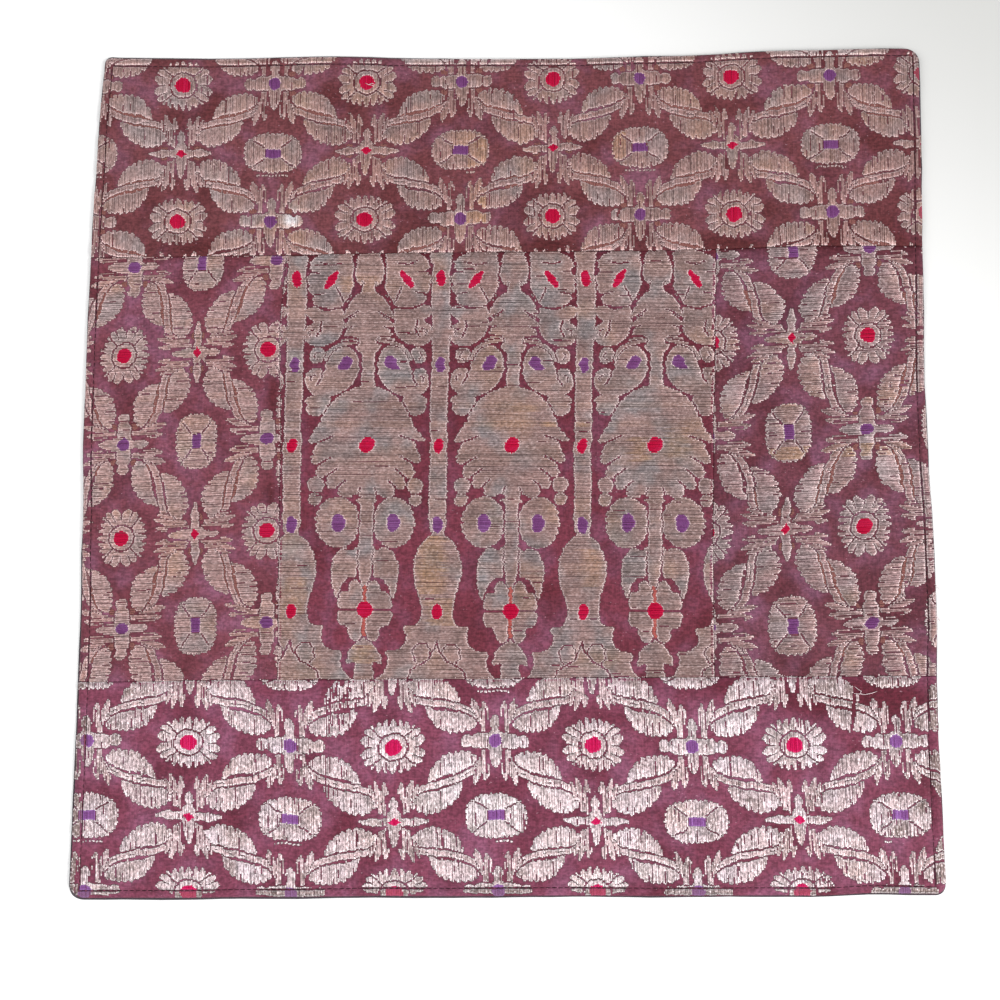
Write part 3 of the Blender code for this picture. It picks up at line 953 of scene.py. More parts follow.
# Lines where the floats are broken or pulled aside, with the same columns as the strokes of the motifs,
# but in places on the cover. Then round places where many are missing: panel, x, y, reach across,
# reach up, share that is missing.
BARE_LINES = {
    "bottom_border": (
        ((165.4, -104.0, 0.5), (165.2, -108.5, 0.9), (164.2, -120.0, 1.0), (163.0, -128.5, 0.6)),
        ((-82.2, -105.0, 0.3), (-82.0, -150.0, 0.3), (-81.8, -165.0, 0.3)),
        ((-80.4, -105.0, 0.25), (-80.3, -160.0, 0.25)), ((-96.0, -104.0, 0.3), (-96.2, -158.0, 0.3)),
    ),
}
WORN_PLACES = (
    ("bottom_border", -74.0, -117.0, 8.0, 13.0, 0.40), ("bottom_border", 150.0, -190.0, 14.0, 8.0, 0.25),
    ("right_border", 192.6, -61.8, 3.4, 2.7, 1.0), ("right_border", 186.0, 40.0, 9.0, 14.0, 0.20),
    ("top_border", -60.0, 128.0, 10.0, 6.0, 0.12), ("left_border", -160.0, -60.0, 14.0, 12.0, 0.15),
)


def wear_away(field):
    """Takes the floats away along the bare lines and at the worn places."""
    x, y, cloth, panel = field["x"], field["y"], field["cloth"], field["panel"]
    for line in BARE_LINES.get(panel, ()):
        cloth[on_stroke(line, x, y)] = GROUND
    for worn_panel, *place, share in WORN_PLACES:
        if worn_panel == panel:
            chance = random_cloud(field["line"] * 3, field["end"] * 0.6, 1.5, field["seed"] + 4)
            missing = (out_of(place, x, y) < 1) & (chance * 0.5 + 0.5 < share)
            cloth[missing & (cloth != RED)] = GROUND


def thread_runs(field, gap_share):
    """Each stretch of a thread that floats on the face: its line, its ends and what it is.

    gap_share is the share of longer floats in which a piece is worn or broken away.
    """
    cloth, rng = field["cloth"], field["rng"]
    padded = np.pad(cloth, ((0, 0), (1, 1)))
    change = padded[:, 1:] != padded[:, :-1]
    starts = change & (padded[:, 1:] != GROUND)
    stops = change & (padded[:, :-1] != GROUND)
    line, first = np.nonzero(starts)
    _, last = np.nonzero(stops)
    kind = cloth[line, first]
    count = len(first)
    uneven = END_UNEVENNESS
    start = field["ends"][first] - END_TUCK + rng.uniform(-uneven, uneven, count)
    stop = field["ends"][0] + (last - 0.5) * SAMPLE_STEP + END_TUCK + rng.uniform(-uneven, uneven, count)
    length = stop - start
    long_metal = ((kind == METAL) | (kind == ROSY)) & (length > LONG_FLOAT)
    broken = long_metal & (rng.random(count) < gap_share)
    gap = np.minimum(length * rng.uniform(*GAP_PART, count), rng.uniform(*GAP_LENGTH, count))
    gap_start = start + (length - gap) * rng.random(count)
    line = np.concatenate([line, line[broken]])
    kind = np.concatenate([kind, kind[broken]])
    start_all = np.concatenate([start, (gap_start + gap)[broken]])
    stop_all = np.concatenate([np.where(broken, gap_start, stop), stop[broken]])
    keep = stop_all - start_all > SHORTEST_FLOAT
    return line[keep], start_all[keep], stop_all[keep], kind[keep]


def float_stations(field, line, start, stop, half_width, rise):
    """The stations of floats that dip under the silk at both ends, and which float each is on."""
    rng = field["rng"]
    length = stop - start
    turn = np.minimum(END_TURN, 0.25 * length)
    middle = start + length / 2
    where_x, where_y = thread_places(field, line, middle)
    near_hem = outline_distance(where_x, where_y) < HEM_NEARNESS + length / 2
    near_seam = seam_distance(where_x, where_y) < SEAM_NEARNESS + length / 2
    step = np.where(near_hem, HEM_FLOAT_STEP, np.where(near_seam, SEAM_FLOAT_STEP, FLOAT_STEP))
    pieces = np.maximum(1, np.ceil((length - 2 * turn) / step)).astype(int)
    sizes = pieces + 3
    run = np.repeat(np.arange(len(line)), sizes)
    number = np.arange(sizes.sum()) - np.repeat(np.cumsum(sizes) - sizes, sizes)
    is_end = (number == 0) | (number == sizes[run] - 1)
    share = np.clip((number - 1) / np.maximum(pieces[run], 1), 0, 1)
    place = start[run] + turn[run] + (length - 2 * turn)[run] * share
    at_last = number == sizes[run] - 1
    place = np.where(number == 0, start[run], np.where(at_last, stop[run], place))
    sway = SWAY * np.sin(place / SWAY_LENGTH + line[run] * SWAY_SHIFT)
    aside = rng.normal(0, ASIDE, len(line))[run]
    x, y = thread_places(field, line[run], place, sway + aside)
    level = face_height(x, y)
    crest = rise[run] + rng.normal(0, CREST_UNEVENNESS, len(run))
    crown = level + np.where(is_end, END_RISE, crest)
    edge = level + np.where(is_end, END_SINK, EDGE_RISE)
    along = np.array([field["lean"], 1.0]) if field["upright"] else np.array([1.0, field["lean"]])
    side = np.array([-along[1], along[0]]) / np.hypot(*along)
    half = half_width[run] * np.where(is_end, END_WIDTH, 1.0)
    return {"x": x, "y": y, "crown": crown, "edge": edge, "side_x": side[0] * half,
            "side_y": side[1] * half, "run": run, "first": number == 0, "last": at_last,
            "from_start": place - start[run], "to_end": stop[run] - place}


def thread_places(field, line, place, sideways=0.0):
    """The position of places along threads given by their numbers."""
    drifted = field["lines"][line] + field["lean"] * (place - field["origin"]) + sideways
    return (drifted, place) if field["upright"] else (place, drifted)


# Where a thread mesh's seen faces lie in its flat plan, and the strip that its hidden faces share.
SEEN_START = 0.03
SEEN_SIZE = 0.96
HIDDEN_START = 0.002
HIDDEN_SIZE = 0.02


def thread_mesh(name, stations, values):
    """Threads through their stations, each with a crown between two edges sunk into the cloth."""
    x, y, edge = stations["x"], stations["y"], stations["edge"]
    left = np.stack([x + stations["side_x"], y + stations["side_y"], edge], -1)
    crown = np.stack([x, y, stations["crown"]], -1)
    right = np.stack([x - stations["side_x"], y - stations["side_y"], edge], -1)
    points = np.stack([left, crown, right], 1).reshape(-1, 3)
    at = np.flatnonzero(~stations["last"]) * 3
    nearer = np.stack([at, at + 1, at + 4, at + 3], -1)
    further = np.stack([at + 1, at + 2, at + 5, at + 4], -1)
    below = np.stack([at + 2, at, at + 3, at + 5], -1)
    begin, finish = np.flatnonzero(stations["first"]) * 3, np.flatnonzero(stations["last"]) * 3
    triangles = np.concatenate([np.stack([begin, begin + 2, begin + 1], -1),
                                np.stack([finish, finish + 1, finish + 2], -1)])
    quads = np.concatenate([nearer, further, below])
    low, size = points[:, :2].min(0), np.ptp(points[:, :2], 0)
    flat = (points[:, :2] - low) / size
    seen = np.concatenate([nearer, further]).ravel()
    hidden = np.concatenate([below.ravel(), triangles.ravel()])
    hidden_plan = flat[hidden] * [SEEN_SIZE, HIDDEN_SIZE] + [SEEN_START, HIDDEN_START]
    plan = np.concatenate([SEEN_START + SEEN_SIZE * flat[seen], hidden_plan])
    spread_values = {key: np.repeat(value, 3) for key, value in values.items()}
    spread_values["side"] = np.tile([1.0, 0.0, 1.0], len(x))
    return mesh_from_arrays(name, points, quads, triangles, plan, spread_values, 2 * len(at))


def make_thread_wear():
    """Marks on each float: painted highlight by its turned ends, painted shade in cracks and at tucks,
    streaks along it.
    """
    tree, entry, result = group_tree(
        "thread wear", {"From Start": 5.0, "To End": 5.0, "Side": 0.0, "Number": 0.0},
        {"Turned End": "NodeSocketFloat", "Crack": "NodeSocketFloat", "Streak": "NodeSocketFloat"})
    nearest = calculate(tree, "MINIMUM", entry["From Start"], entry["To End"])
    # Painted highlight near each float's turned ends.
    fill(tree, result["Turned End"], spread(tree, nearest, 0.60, 1.05, 1.0, 0.0))
    # Painted shade where the float tucks under the silk.
    tucked = spread(tree, nearest, 0.22, 0.42, 1.0, 0.0)
    apart = times(tree, entry["Number"], 5.3)
    along = add_node(tree, "CombineXYZ", {0: entry["From Start"], 1: apart})[0]
    split, streak = (add_node(tree, "TexNoise", {"Scale": 1 / size, "Vector": along})["Fac"]
                     for size in (2.6, 1.7))
    split_here = spread(tree, split, 0.59, 0.67)
    beside = spread(tree, entry["Side"], 0.40, 0.85)
    # Painted shade in cracks beside the float.
    crack = times(tree, split_here, beside)
    fill(tree, result["Crack"], calculate(tree, "MAXIMUM", crack, tucked))
    fill(tree, result["Streak"], streak)
    return tree


thread_wear = make_thread_wear()


def wear_of(tree):
    """The group of worn streaks, painted highlight and painted shade in a thread's material, fed with what
    the mesh holds.
    """
    return place_group(tree, thread_wear, From_Start=attribute(tree, "from_start"),
                       To_End=attribute(tree, "to_end"), Side=attribute(tree, "side"),
                       Number=attribute(tree, "number"))


def make_metal_thread():
    """Metal-wrapped thread after long use: bright and tarnished, warm and cool, grimy, with painted highlight
    and shade.
    """
    tree, entry, result = group_tree(
        "metal thread",
        {"Metal": (0.4, 0.33, 0.29), "Cool": (0.38, 0.4, 0.42), "Gold": (0.5, 0.3, 0.14),
         "Rose": (0.45, 0.27, 0.24), "Pale": (0.8, 0.7, 0.66), "Tone": 0.5, "Warmth": 0.0, "Blush": 0.0,
         "Turned End": 0.0, "Crack": 0.0, "Streak": 0.5, "Polish": 0.0, "Dulling": 0.0,
         "Dull": (0.3, 0.2, 0.2), "Grain": 0.5, "Bright Ends": 0.55, "Tarnish": 0.5},
        {"Color": "NodeSocketColor", "Roughness": "NodeSocketFloat"})
    cool = spread(tree, cloud(tree, 17.0, 3.0, shift=4.0), 0.45, 0.66, 0.0, 0.7)
    colour = blend_colours(tree, cool, entry["Metal"], entry["Cool"])
    colour = blend_colours(tree, entry["Warmth"], colour, entry["Gold"])
    colour = blend_colours(tree, entry["Blush"], colour, entry["Rose"])
    # Dull where the metal is tarnished and where painted shade darkens it.
    colour = blend_colours(tree, entry["Dulling"], colour, entry["Dull"])
    rubbed = times(tree, spread(tree, entry["Streak"], 0.52, 0.68, 0.0, 0.6), entry["Grain"])
    # Painted highlight on the turned ends, with the streaks worn pale.
    turned = times(tree, entry["Turned End"], entry["Bright Ends"])
    rubbed = calculate(tree, "MAXIMUM", rubbed, turned)
    colour = blend_colours(tree, rubbed, colour, entry["Pale"])
    # Near-white painted highlight, with a little real polish.
    colour = blend_colours(tree, entry["Polish"], colour, (0.98, 0.93, 0.95))
    tone = spread(tree, entry["Tone"], 0.0, 1.0, 0.80, 1.20)
    hollow = times(tree, spread(tree, entry["Streak"], 0.34, 0.56, 0.42, -0.12), entry["Grain"])
    tone = times(tree, tone, calculate(tree, "SUBTRACT", 1.0, hollow))
    colour = blend_colours(tree, 1.0, colour, tone, "MULTIPLY")
    grime = spread(tree, cloud(tree, 1.3, 3.0, shift=6.0), 0.48, 0.70)
    # Real grime, and painted shade in the cracks and at the tucks.
    caught = times(tree, entry["Crack"], 0.85)
    grime = calculate(tree, "MAXIMUM", times(tree, grime, entry["Tarnish"]), caught)
    fill(tree, result["Color"], blend_colours(tree, grime, colour, (0.085, 0.045, 0.042)))
    fill(tree, result["Roughness"], spread(tree, grime, 0.0, 1.0, 0.48, 0.70))
    return tree


metal_thread = make_metal_thread()


def metal_finish(name, metal, cool, gold, rose, pale, dull, tarnish, grain, bright_ends=0.55):
    """The metal-wrapped thread of one panel."""
    material, tree, shader = new_material(name, 0.4)
    shader.inputs["Metallic"].default_value = 0.8
    wear = wear_of(tree)
    held = {name.capitalize(): attribute(tree, name)
            for name in ("tone", "warmth", "dulling", "blush", "polish")}
    looks = place_group(tree, metal_thread, Metal=metal, Cool=cool, Gold=gold, Rose=rose, Pale=pale,
                        Dull=dull, Tarnish=tarnish, Grain=grain, Bright_Ends=bright_ends,
                        Streak=wear["Streak"], Turned_End=wear["Turned End"], Crack=wear["Crack"], **held)
    fill(tree, shader.inputs["Base Color"], looks["Color"])
    fill(tree, shader.inputs["Roughness"], looks["Roughness"])
    wrapping = cloud(tree, 0.35, 1.0, shift=8.0)
    fill(tree, shader.inputs["Normal"], bump_from(tree, wrapping, 0.35, 0.06))
    return material


def floss_finish(name, colour, light):
    """Untwisted silk floss: darker between its filaments, paler where worn, with painted highlight and shade.
    """
    material, tree, shader = new_material(name, 0.55)
    wear = wear_of(tree)
    rubbed = spread(tree, attribute(tree, "tone"), 0.4, 1.0, 0.0, 0.7)
    # Painted highlight on the turned ends.
    rubbed = calculate(tree, "MAXIMUM", rubbed, times(tree, wear["Turned End"], 0.5))
    mixed = blend_colours(tree, rubbed, colour, light)
    # Painted shade in the cracks beside the floss and at its tucks.
    mixed = blend_colours(tree, times(tree, wear["Crack"], 0.4), mixed, (0.02, 0.006, 0.01))
    # Painted shade on the floss of the hem outside the stitching.
    dull = times(tree, attribute(tree, "dulling"), 0.5)
    mixed = blend_colours(tree, dull, mixed, (0.20, 0.11, 0.13))
    filaments = spread(tree, cloud(tree, 0.6, 2.0, shift=12.0), 0.3, 0.6, 0.75, 1.1)
    fill(tree, shader.inputs["Base Color"], blend_colours(tree, 1.0, mixed, filaments, "MULTIPLY"))
    fill(tree, shader.inputs["Normal"], bump_from(tree, cloud(tree, 0.3, 1.0), 0.3, 0.05))
    shader.inputs["Specular IOR Level"].default_value = 0.08
    return material


COOL = (0.412, 0.340, 0.345)
GOLD = (0.610, 0.350, 0.190)
ROSE = (0.495, 0.272, 0.262)
PALE = (0.91, 0.71, 0.71)
DULL = (0.26, 0.165, 0.160)
# Columns: the metal, where it is cool, golden, rosy, pale (worn, and painted highlight) and dull (tarnish,
# and painted shade), then its tarnish and its grain, and how strong the painted highlight on its turned ends
# is.
METALS = {
    "top_border": ((0.478, 0.302, 0.282), COOL, GOLD, ROSE, PALE, DULL, 0.5, 0.5),
    # Lower border: less tarnish, and lighter colours as painted sheen where its threads catch the light.
    "bottom_border": ((0.62, 0.492, 0.512), (0.69, 0.595, 0.645), (0.62, 0.44, 0.36), (0.56, 0.375, 0.385),
                      (0.97, 0.87, 0.89), (0.30, 0.220, 0.210), 0.4, 1.0),
    "left_border": ((0.520, 0.342, 0.330), COOL, GOLD, ROSE, PALE, DULL, 0.4, 0.6),
    "right_border": ((0.412, 0.268, 0.272), (0.348, 0.290, 0.298), (0.50, 0.30, 0.17),
                     (0.410, 0.235, 0.235), (0.80, 0.66, 0.66), (0.24, 0.16, 0.155), 0.4, 0.6, 0.7),
    "centre": ((0.430, 0.282, 0.266), (0.330, 0.326, 0.346), (0.560, 0.330, 0.180), (0.440, 0.255, 0.250),
               (0.86, 0.68, 0.68), (0.26, 0.175, 0.165), 0.45, 0.5, 0.7),
}
metals = {panel: metal_finish("metal thread of " + panel.replace("_", " "), *row)
          for panel, row in METALS.items()}
# Columns: the floss, and where it is rubbed.
FLOSSES = {
    "red": ((0.40, 0.003, 0.034), (0.54, 0.020, 0.090)),
    "violet": ((0.150, 0.044, 0.148), (0.250, 0.100, 0.270)),
    "brown red": ((0.205, 0.078, 0.070), (0.28, 0.120, 0.108)),
    "brick red": ((0.34, 0.062, 0.058), (0.48, 0.15, 0.13)),
    # Lighter copies for the lower border: painted sheen where it catches the light.
    "brighter red": ((0.50, 0.004, 0.070), (0.72, 0.040, 0.200)),
    "brighter violet": ((0.215, 0.075, 0.245), (0.40, 0.19, 0.52)),
}
flosses = {name: floss_finish(name + " floss", *colours) for name, colours in FLOSSES.items()}

# Threads of a warmer batch. Columns: panel, first and last place across the threads, from and to
# along them, strength.
WARM_THREADS = (
    ("top_border", -17.5, -8.5, 118, 165, 0.75), ("top_border", 53, 60.5, 150, 165, 0.8),
    ("top_border", 98, 104, 165, 190, 0.3), ("right_border", 2, 8, 120, 200, 0.75),
    ("right_border", 57, 61, 100, 150, 0.3), ("centre", 0, 12, 62, 70, 0.7), ("centre", 2, 17, 80, 89, 0.6),
    ("centre", -64, -36, -41, -28, 0.7), ("centre", -97, -88, -71, -59, 0.6),
    ("centre", -74, -56, -104, -93, 0.5), ("centre", -60, -42, 37, 46, 0.55),
    ("centre", 17, 19.5, 18, 40, 0.7), ("centre", 24, 27, 3, 18, 0.6), ("centre", -79, -66, -35, -18, 0.5),
    ("centre", -60, -50, 14, 24, 0.4), ("centre", 84, 92, -80, -60, 0.45),
)
# Places worn bright and, mostly, painted highlight. Columns: panel, x, y, reach across, reach up, strength.
BRIGHT_PLACES = (
    ("top_border", -165.0, 160.0, 42.0, 45.0, 0.12), ("top_border", -104.8, 120.8, 3.4, 3.3, 1.4),
    ("top_border", -24.0, 203.0, 34.0, 2.6, 0.4), ("top_border", 162.0, 205.0, 24.0, 2.6, 0.4),
    ("right_border", 197.9, -71.0, 1.4, 11.0, 0.5), ("right_border", 180.0, -4.0, 6.0, 8.0, 0.3),
    ("right_border", 184.0, 13.0, 9.0, 3.0, 0.3), ("right_border", 108.0, 36.0, 5.0, 9.0, 0.2),
    ("right_border", 146.0, -15.0, 6.0, 8.0, 0.2), ("bottom_border", -8.0, -160.0, 34.0, 22.0, 0.28),
    ("bottom_border", 96.0, -125.0, 30.0, 14.0, 0.22), ("bottom_border", 60.0, -190.0, 26.0, 9.0, 0.25),
    ("bottom_border", -60.0, -118.0, 16.0, 8.0, 0.2),
)


def polish(panel, x, y):
    """How light the metal is: a little worn bright, mostly painted highlight."""
    total = np.zeros(len(x))
    for bright_panel, *place, strength in BRIGHT_PLACES:
        if bright_panel == panel:
            total = total + strength * np.exp(-out_of(place, x, y))
    return np.clip(total, 0, 1)


def dulling(panel, x, y):
    """How dull the metal is: tarnished soft patches, and painted shade on the lower border's ends and hems
    and the centre's right.
    """
    patches = np.clip(random_cloud(x, y, 11, 31) + 0.7 * random_cloud(x, y, 4, 32) - 0.15, 0, 1)
    if panel == "bottom_border":
        # Painted shade on the hem outside the stitching and towards the border's ends, which turn from the
        # light.
        outside = stitch_offset(x, y) < 0
        to_corner = np.clip((np.abs(x) - 140) / 60, 0, 1)
        return np.clip(0.75 * patches + 0.8 * outside + 0.3 * to_corner, 0, 1)
    # Painted shade: the centre's metal darker towards the right, away from the light.
    to_right = np.clip((x - 30) / 70, 0, 1) * (panel == "centre")
    return np.clip(0.4 * patches + 0.3 * to_right, 0, 1)


BATCH_THREADS = 5


def warmth(field, line, x, y):
    """How golden each thread is, from its batch and from soft patches."""
    place = y if field["upright"] else x
    position = field["lines"][line]
    batches = len(field["lines"]) // BATCH_THREADS + 2
    batch = np.random.default_rng(field["seed"] + 60).uniform(0, 1, batches)
    total = 0.25 * np.clip(batch[line // BATCH_THREADS] - 0.55, 0, 1)
    total = total + 0.5 * np.clip(random_cloud(x, y, 14, field["seed"] + 9) - 0.35, 0, 1)
    uneven = 0.7 + 0.3 * random_cloud(x, y, 2.5, field["seed"] + 10)
    for panel, low, high, start, stop, strength in WARM_THREADS:
        if panel == field["panel"]:
            chosen = (position > low) & (position < high) & (place > start) & (place < stop)
            total = np.where(chosen, np.maximum(total, strength * uneven), total)
    return np.clip(total, 0, 1)


def lay_brocade(field, gap_share, width, crown=0.19, unevenness=0.1):
    """The floats of one panel as a mesh of metal thread and meshes of floss.

    gap_share is the share of longer floats that are broken, and width and crown are a float's own.
    unevenness is how much the metal's tone varies from patch to patch.
    """
    panel = field["panel"]
    line, start, stop, kind = thread_runs(field, gap_share)
    rng = np.random.default_rng(field["seed"] + 50)
    tones = np.clip(rng.normal(0.5, TONE_SPREAD, len(line)), 0, 1)
    # The lower border takes the floss copies with painted sheen.
    bright = "brighter " if panel == "bottom_border" else ""
    brown = "brick red" if panel == "centre" else "brown red"
    kinds = {"metal": ((METAL, ROSY), metals[panel]), "red": ((RED,), flosses[bright + "red"]),
             "violet": ((VIOLET,), flosses[bright + "violet"]), "ember": ((EMBER,), flosses[brown])}
    made = []
    for thread, (codes, finish) in kinds.items():
        chosen = np.isin(kind, codes)
        if not chosen.any():
            continue
        count = chosen.sum()
        worn_thin = rng.random(count) < THIN_SHARE
        thin, usual = rng.uniform(*THIN_WIDTH, count), rng.uniform(*USUAL_WIDTH, count)
        half = width / 2 * np.where(worn_thin, thin, usual)
        rise = crown + rng.uniform(-CROWN_SPREAD, CROWN_SPREAD, count)
        stations = float_stations(field, line[chosen], start[chosen], stop[chosen], half, rise)
        run, x, y = stations["run"], stations["x"], stations["y"]
        values = {"tone": tones[chosen][run] + unevenness * random_cloud(x, y, TONE_PATCH, 77),
                  "from_start": stations["from_start"], "to_end": stations["to_end"], "number": run,
                  # Painted shade on the hem outside the stitching.
                  "dulling": stitch_offset(x, y) < 0}
        if thread == "metal":
            rosy = (kind[chosen] == ROSY)[run]
            blushing = np.clip(random_cloud(x, y, 21, field["seed"] + 8), 0, 1)
            values.update(polish=polish(panel, x, y), dulling=dulling(panel, x, y),
                          warmth=warmth(field, line[chosen][run], x, y), blush=0.5 * rosy + 0.3 * blushing)
        piece = thread_mesh(f"{panel}_{thread}_thread", stations, values)
        piece.data.materials.append(finish)
        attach(piece, "root")
        made.append(piece)
    return made


threads = {}
for seed, panel in enumerate(BORDER_REPEATS):
    broken_share = 0.08 if panel == "bottom_border" else 0.05
    threads[panel] = lay_brocade(border_field(panel, 100 + 20 * seed), broken_share, width=0.90)

# The brocade of the centre
# The same cloth's wide end pattern: dotted bands with a vase at the foot, and between them a tall
# plant of blossoms, scrolls and a fan palm. Its threads run level across the panel.
BAND_HALF = 35.3
BAND_LINES = (((-71, -135.5), (90, -136.5)), ((-71, -100.6), (7, -101.8), (90, -101.0)),
              ((-71, -64.8), (90, -65.6)), ((-71, -30.5), (7, -31.0), (90, -30.0)),
              ((-71, 4.5), (7, 4.8), (90, 5.6)), ((-71, 38.5), (7, 38.7), (90, 40.5)),
              ((-71, 72.3), (7, 73.3), (90, 75.0)), ((-71, 107.5), (90, 110.0)))

# Outlines in the half repeat. Columns: distance from the plant's middle line, and height on the
# panel.
PLANT_LEAVES = {
    "top_bulb": ((-1, 105), (4.2, 103.5), (6.6, 98), (7.2, 93), (5.8, 88.5), (3.2, 86.5), (3.2, 83),
                 (-1, 82)),
    "blossom": ((8.6, 103), (14, 104.5), (20, 104), (25, 102.4), (28.8, 99.5), (29.4, 96), (28.4, 93.8),
                (30.8, 91), (29.8, 87.6), (30.2, 84.4), (27.9, 82.6), (28.2, 79.6), (25, 77.2), (18.5, 76.0),
                (12.9, 77.4), (10, 80.5), (8.2, 85), (8.2, 95)),
    "bell": ((-1, 84), (4, 83.3), (8, 80.2), (10.8, 75.5), (12.6, 71), (10.2, 70.6), (7, 72.2), (-1, 72)),
    "bell_second": ((-1, 74), (4.5, 73.8), (8.5, 71), (12.6, 67.8), (12, 66.5), (9, 66.2), (-1, 65.6)),
    "bell_third": ((-1, 67), (8.8, 66.4), (11.9, 63.4), (11, 62), (6, 61.4), (-1, 60.6)),
    "bell_cup": ((-1, 62), (5.6, 61.4), (4.2, 58.6), (6.2, 56.8), (3.2, 53.4), (-1, 53)),
    "cup_leaf": ((5.6, 61), (9, 61.4), (13.2, 60), (12.6, 58.6), (8.6, 58.2), (5.2, 59.2)),
    "scroll": ((12.9, 75.5), (12.5, 70), (12.7, 66), (14.2, 61.8), (19.5, 57.6), (26, 56.8), (30.2, 59.4),
               (31.0, 63.8), (29.8, 66.8), (27.4, 68.2), (27.2, 70.0), (29.6, 71.6), (31, 75),
               (27, 77), (21.5, 74.8), (17, 75.2)),
    "curl": ((24.4, 48.2), (21.2, 50), (20.6, 53), (22.6, 55.6), (26.2, 55.4), (28, 52.4), (27.2, 49)),
    "paisley": ((4.9, 50), (4.6, 45), (6.2, 40), (9, 36.5), (13, 33.8), (20, 31.4), (26, 32.6), (29.8, 37),
                (29.6, 42), (27.2, 45.4), (24, 45.6), (21, 44.6), (20.3, 47.5), (19.4, 51.4), (16.4, 55.2),
                (11, 57), (6.8, 54.4)),
    "stem": ((-1, 58), (2.9, 56), (2.9, 47), (2.9, 36), (-1, 35)),
    "small_leaf": ((18, 31.2), (22, 32.6), (27, 32.2), (29.6, 30.2), (28.2, 27.8), (22.5, 26.8), (18.6, 28)),
    "small_leaf_second": ((19.6, 27.8), (27.8, 27.7), (29, 25.4), (26.8, 22.8), (22.4, 22.4)),
    "palm": ((-1, 36.6), (4, 36.4), (8, 35.3), (12, 33.4), (16, 30.2), (19, 26.5), (21.6, 21.5), (24, 16.5),
             (28.2, 10.6), (27, 9.2), (23.8, 9.6), (26, 4), (26.8, 0.5), (25, -1), (22.5, -1.0), (24, -4.5),
             (23.6, -7), (21, -8), (19, -7.4), (19.6, -11), (18, -13.2), (15.5, -13), (13.6, -12.0),
             (14, -15), (12, -17.3), (8.5, -17), (5.5, -15.5), (-1, -15)),
    "berry": ((24, -7.6), (27.4, -9.4), (27.8, -12.4), (25.4, -15.2), (22, -14.8), (20.3, -11.8),
              (21.2, -8.8)),
    "berry_second": ((24.5, -15.4), (27.2, -17), (27.2, -20), (24.5, -21.6), (21.8, -20), (21.6, -17)),
    "low_stem": ((-1, -11.5), (2.6, -12.6), (3.1, -17), (5.4, -19.2), (3.4, -20.2), (3.1, -28), (3.3, -38),
                 (3.4, -46), (2.9, -54), (1.6, -59.2), (0, -61), (-1, -58)),
    "comma_leaf": ((3.6, -41.4), (6, -43), (10, -41.6), (14.5, -45.4), (16.4, -51.5), (15.8, -60),
                   (13.6, -66), (11.7, -60.5), (8.2, -56.2), (4.3, -55.3), (3.8, -48)),
    "upper_lobe": ((1.1, -63.5), (1.6, -60), (4.6, -57.4), (7.4, -59.6), (7.9, -62.6), (11.6, -63.4),
                   (12.8, -67), (11.8, -70.9), (1.1, -70.9)),
    "lower_lobe": ((1.1, -72.1), (12, -72.1), (13, -75.5), (11.4, -79), (8.2, -79.8), (7.3, -84),
                   (4.5, -86.6), (1.6, -85), (1.1, -80)),
    "dome": ((-1, -85.4), (1, -86), (4, -87.6), (7, -91), (8.4, -96), (7.8, -97.2), (4.2, -96.6),
             (4.5, -105), (-1, -105)),
}
# The same, with the distance taken from the middle of a band.
BAND_SHAPES = {
    "band": ((-1, 97), (4.2, 97), (4.1, 40), (4.1, -20), (4.0, -30), (2.8, -34.6), (-1, -36)),
    "band_head": ((-1, 106), (4.6, 105), (5.2, 101), (3.9, 97), (-1, 96)),
    "vase": ((-1, -35.5), (3.5, -36), (8, -40), (10.8, -46), (11.7, -52.5), (10.7, -59), (8.7, -65),
             (7.5, -71), (7.9, -74.6), (10, -78.6), (15.6, -79.6), (14.7, -83.5), (15.3, -87.4), (19, -90.4),
             (24.4, -91.4), (23.7, -96), (25.7, -101), (28.5, -106), (-1, -106)),
}
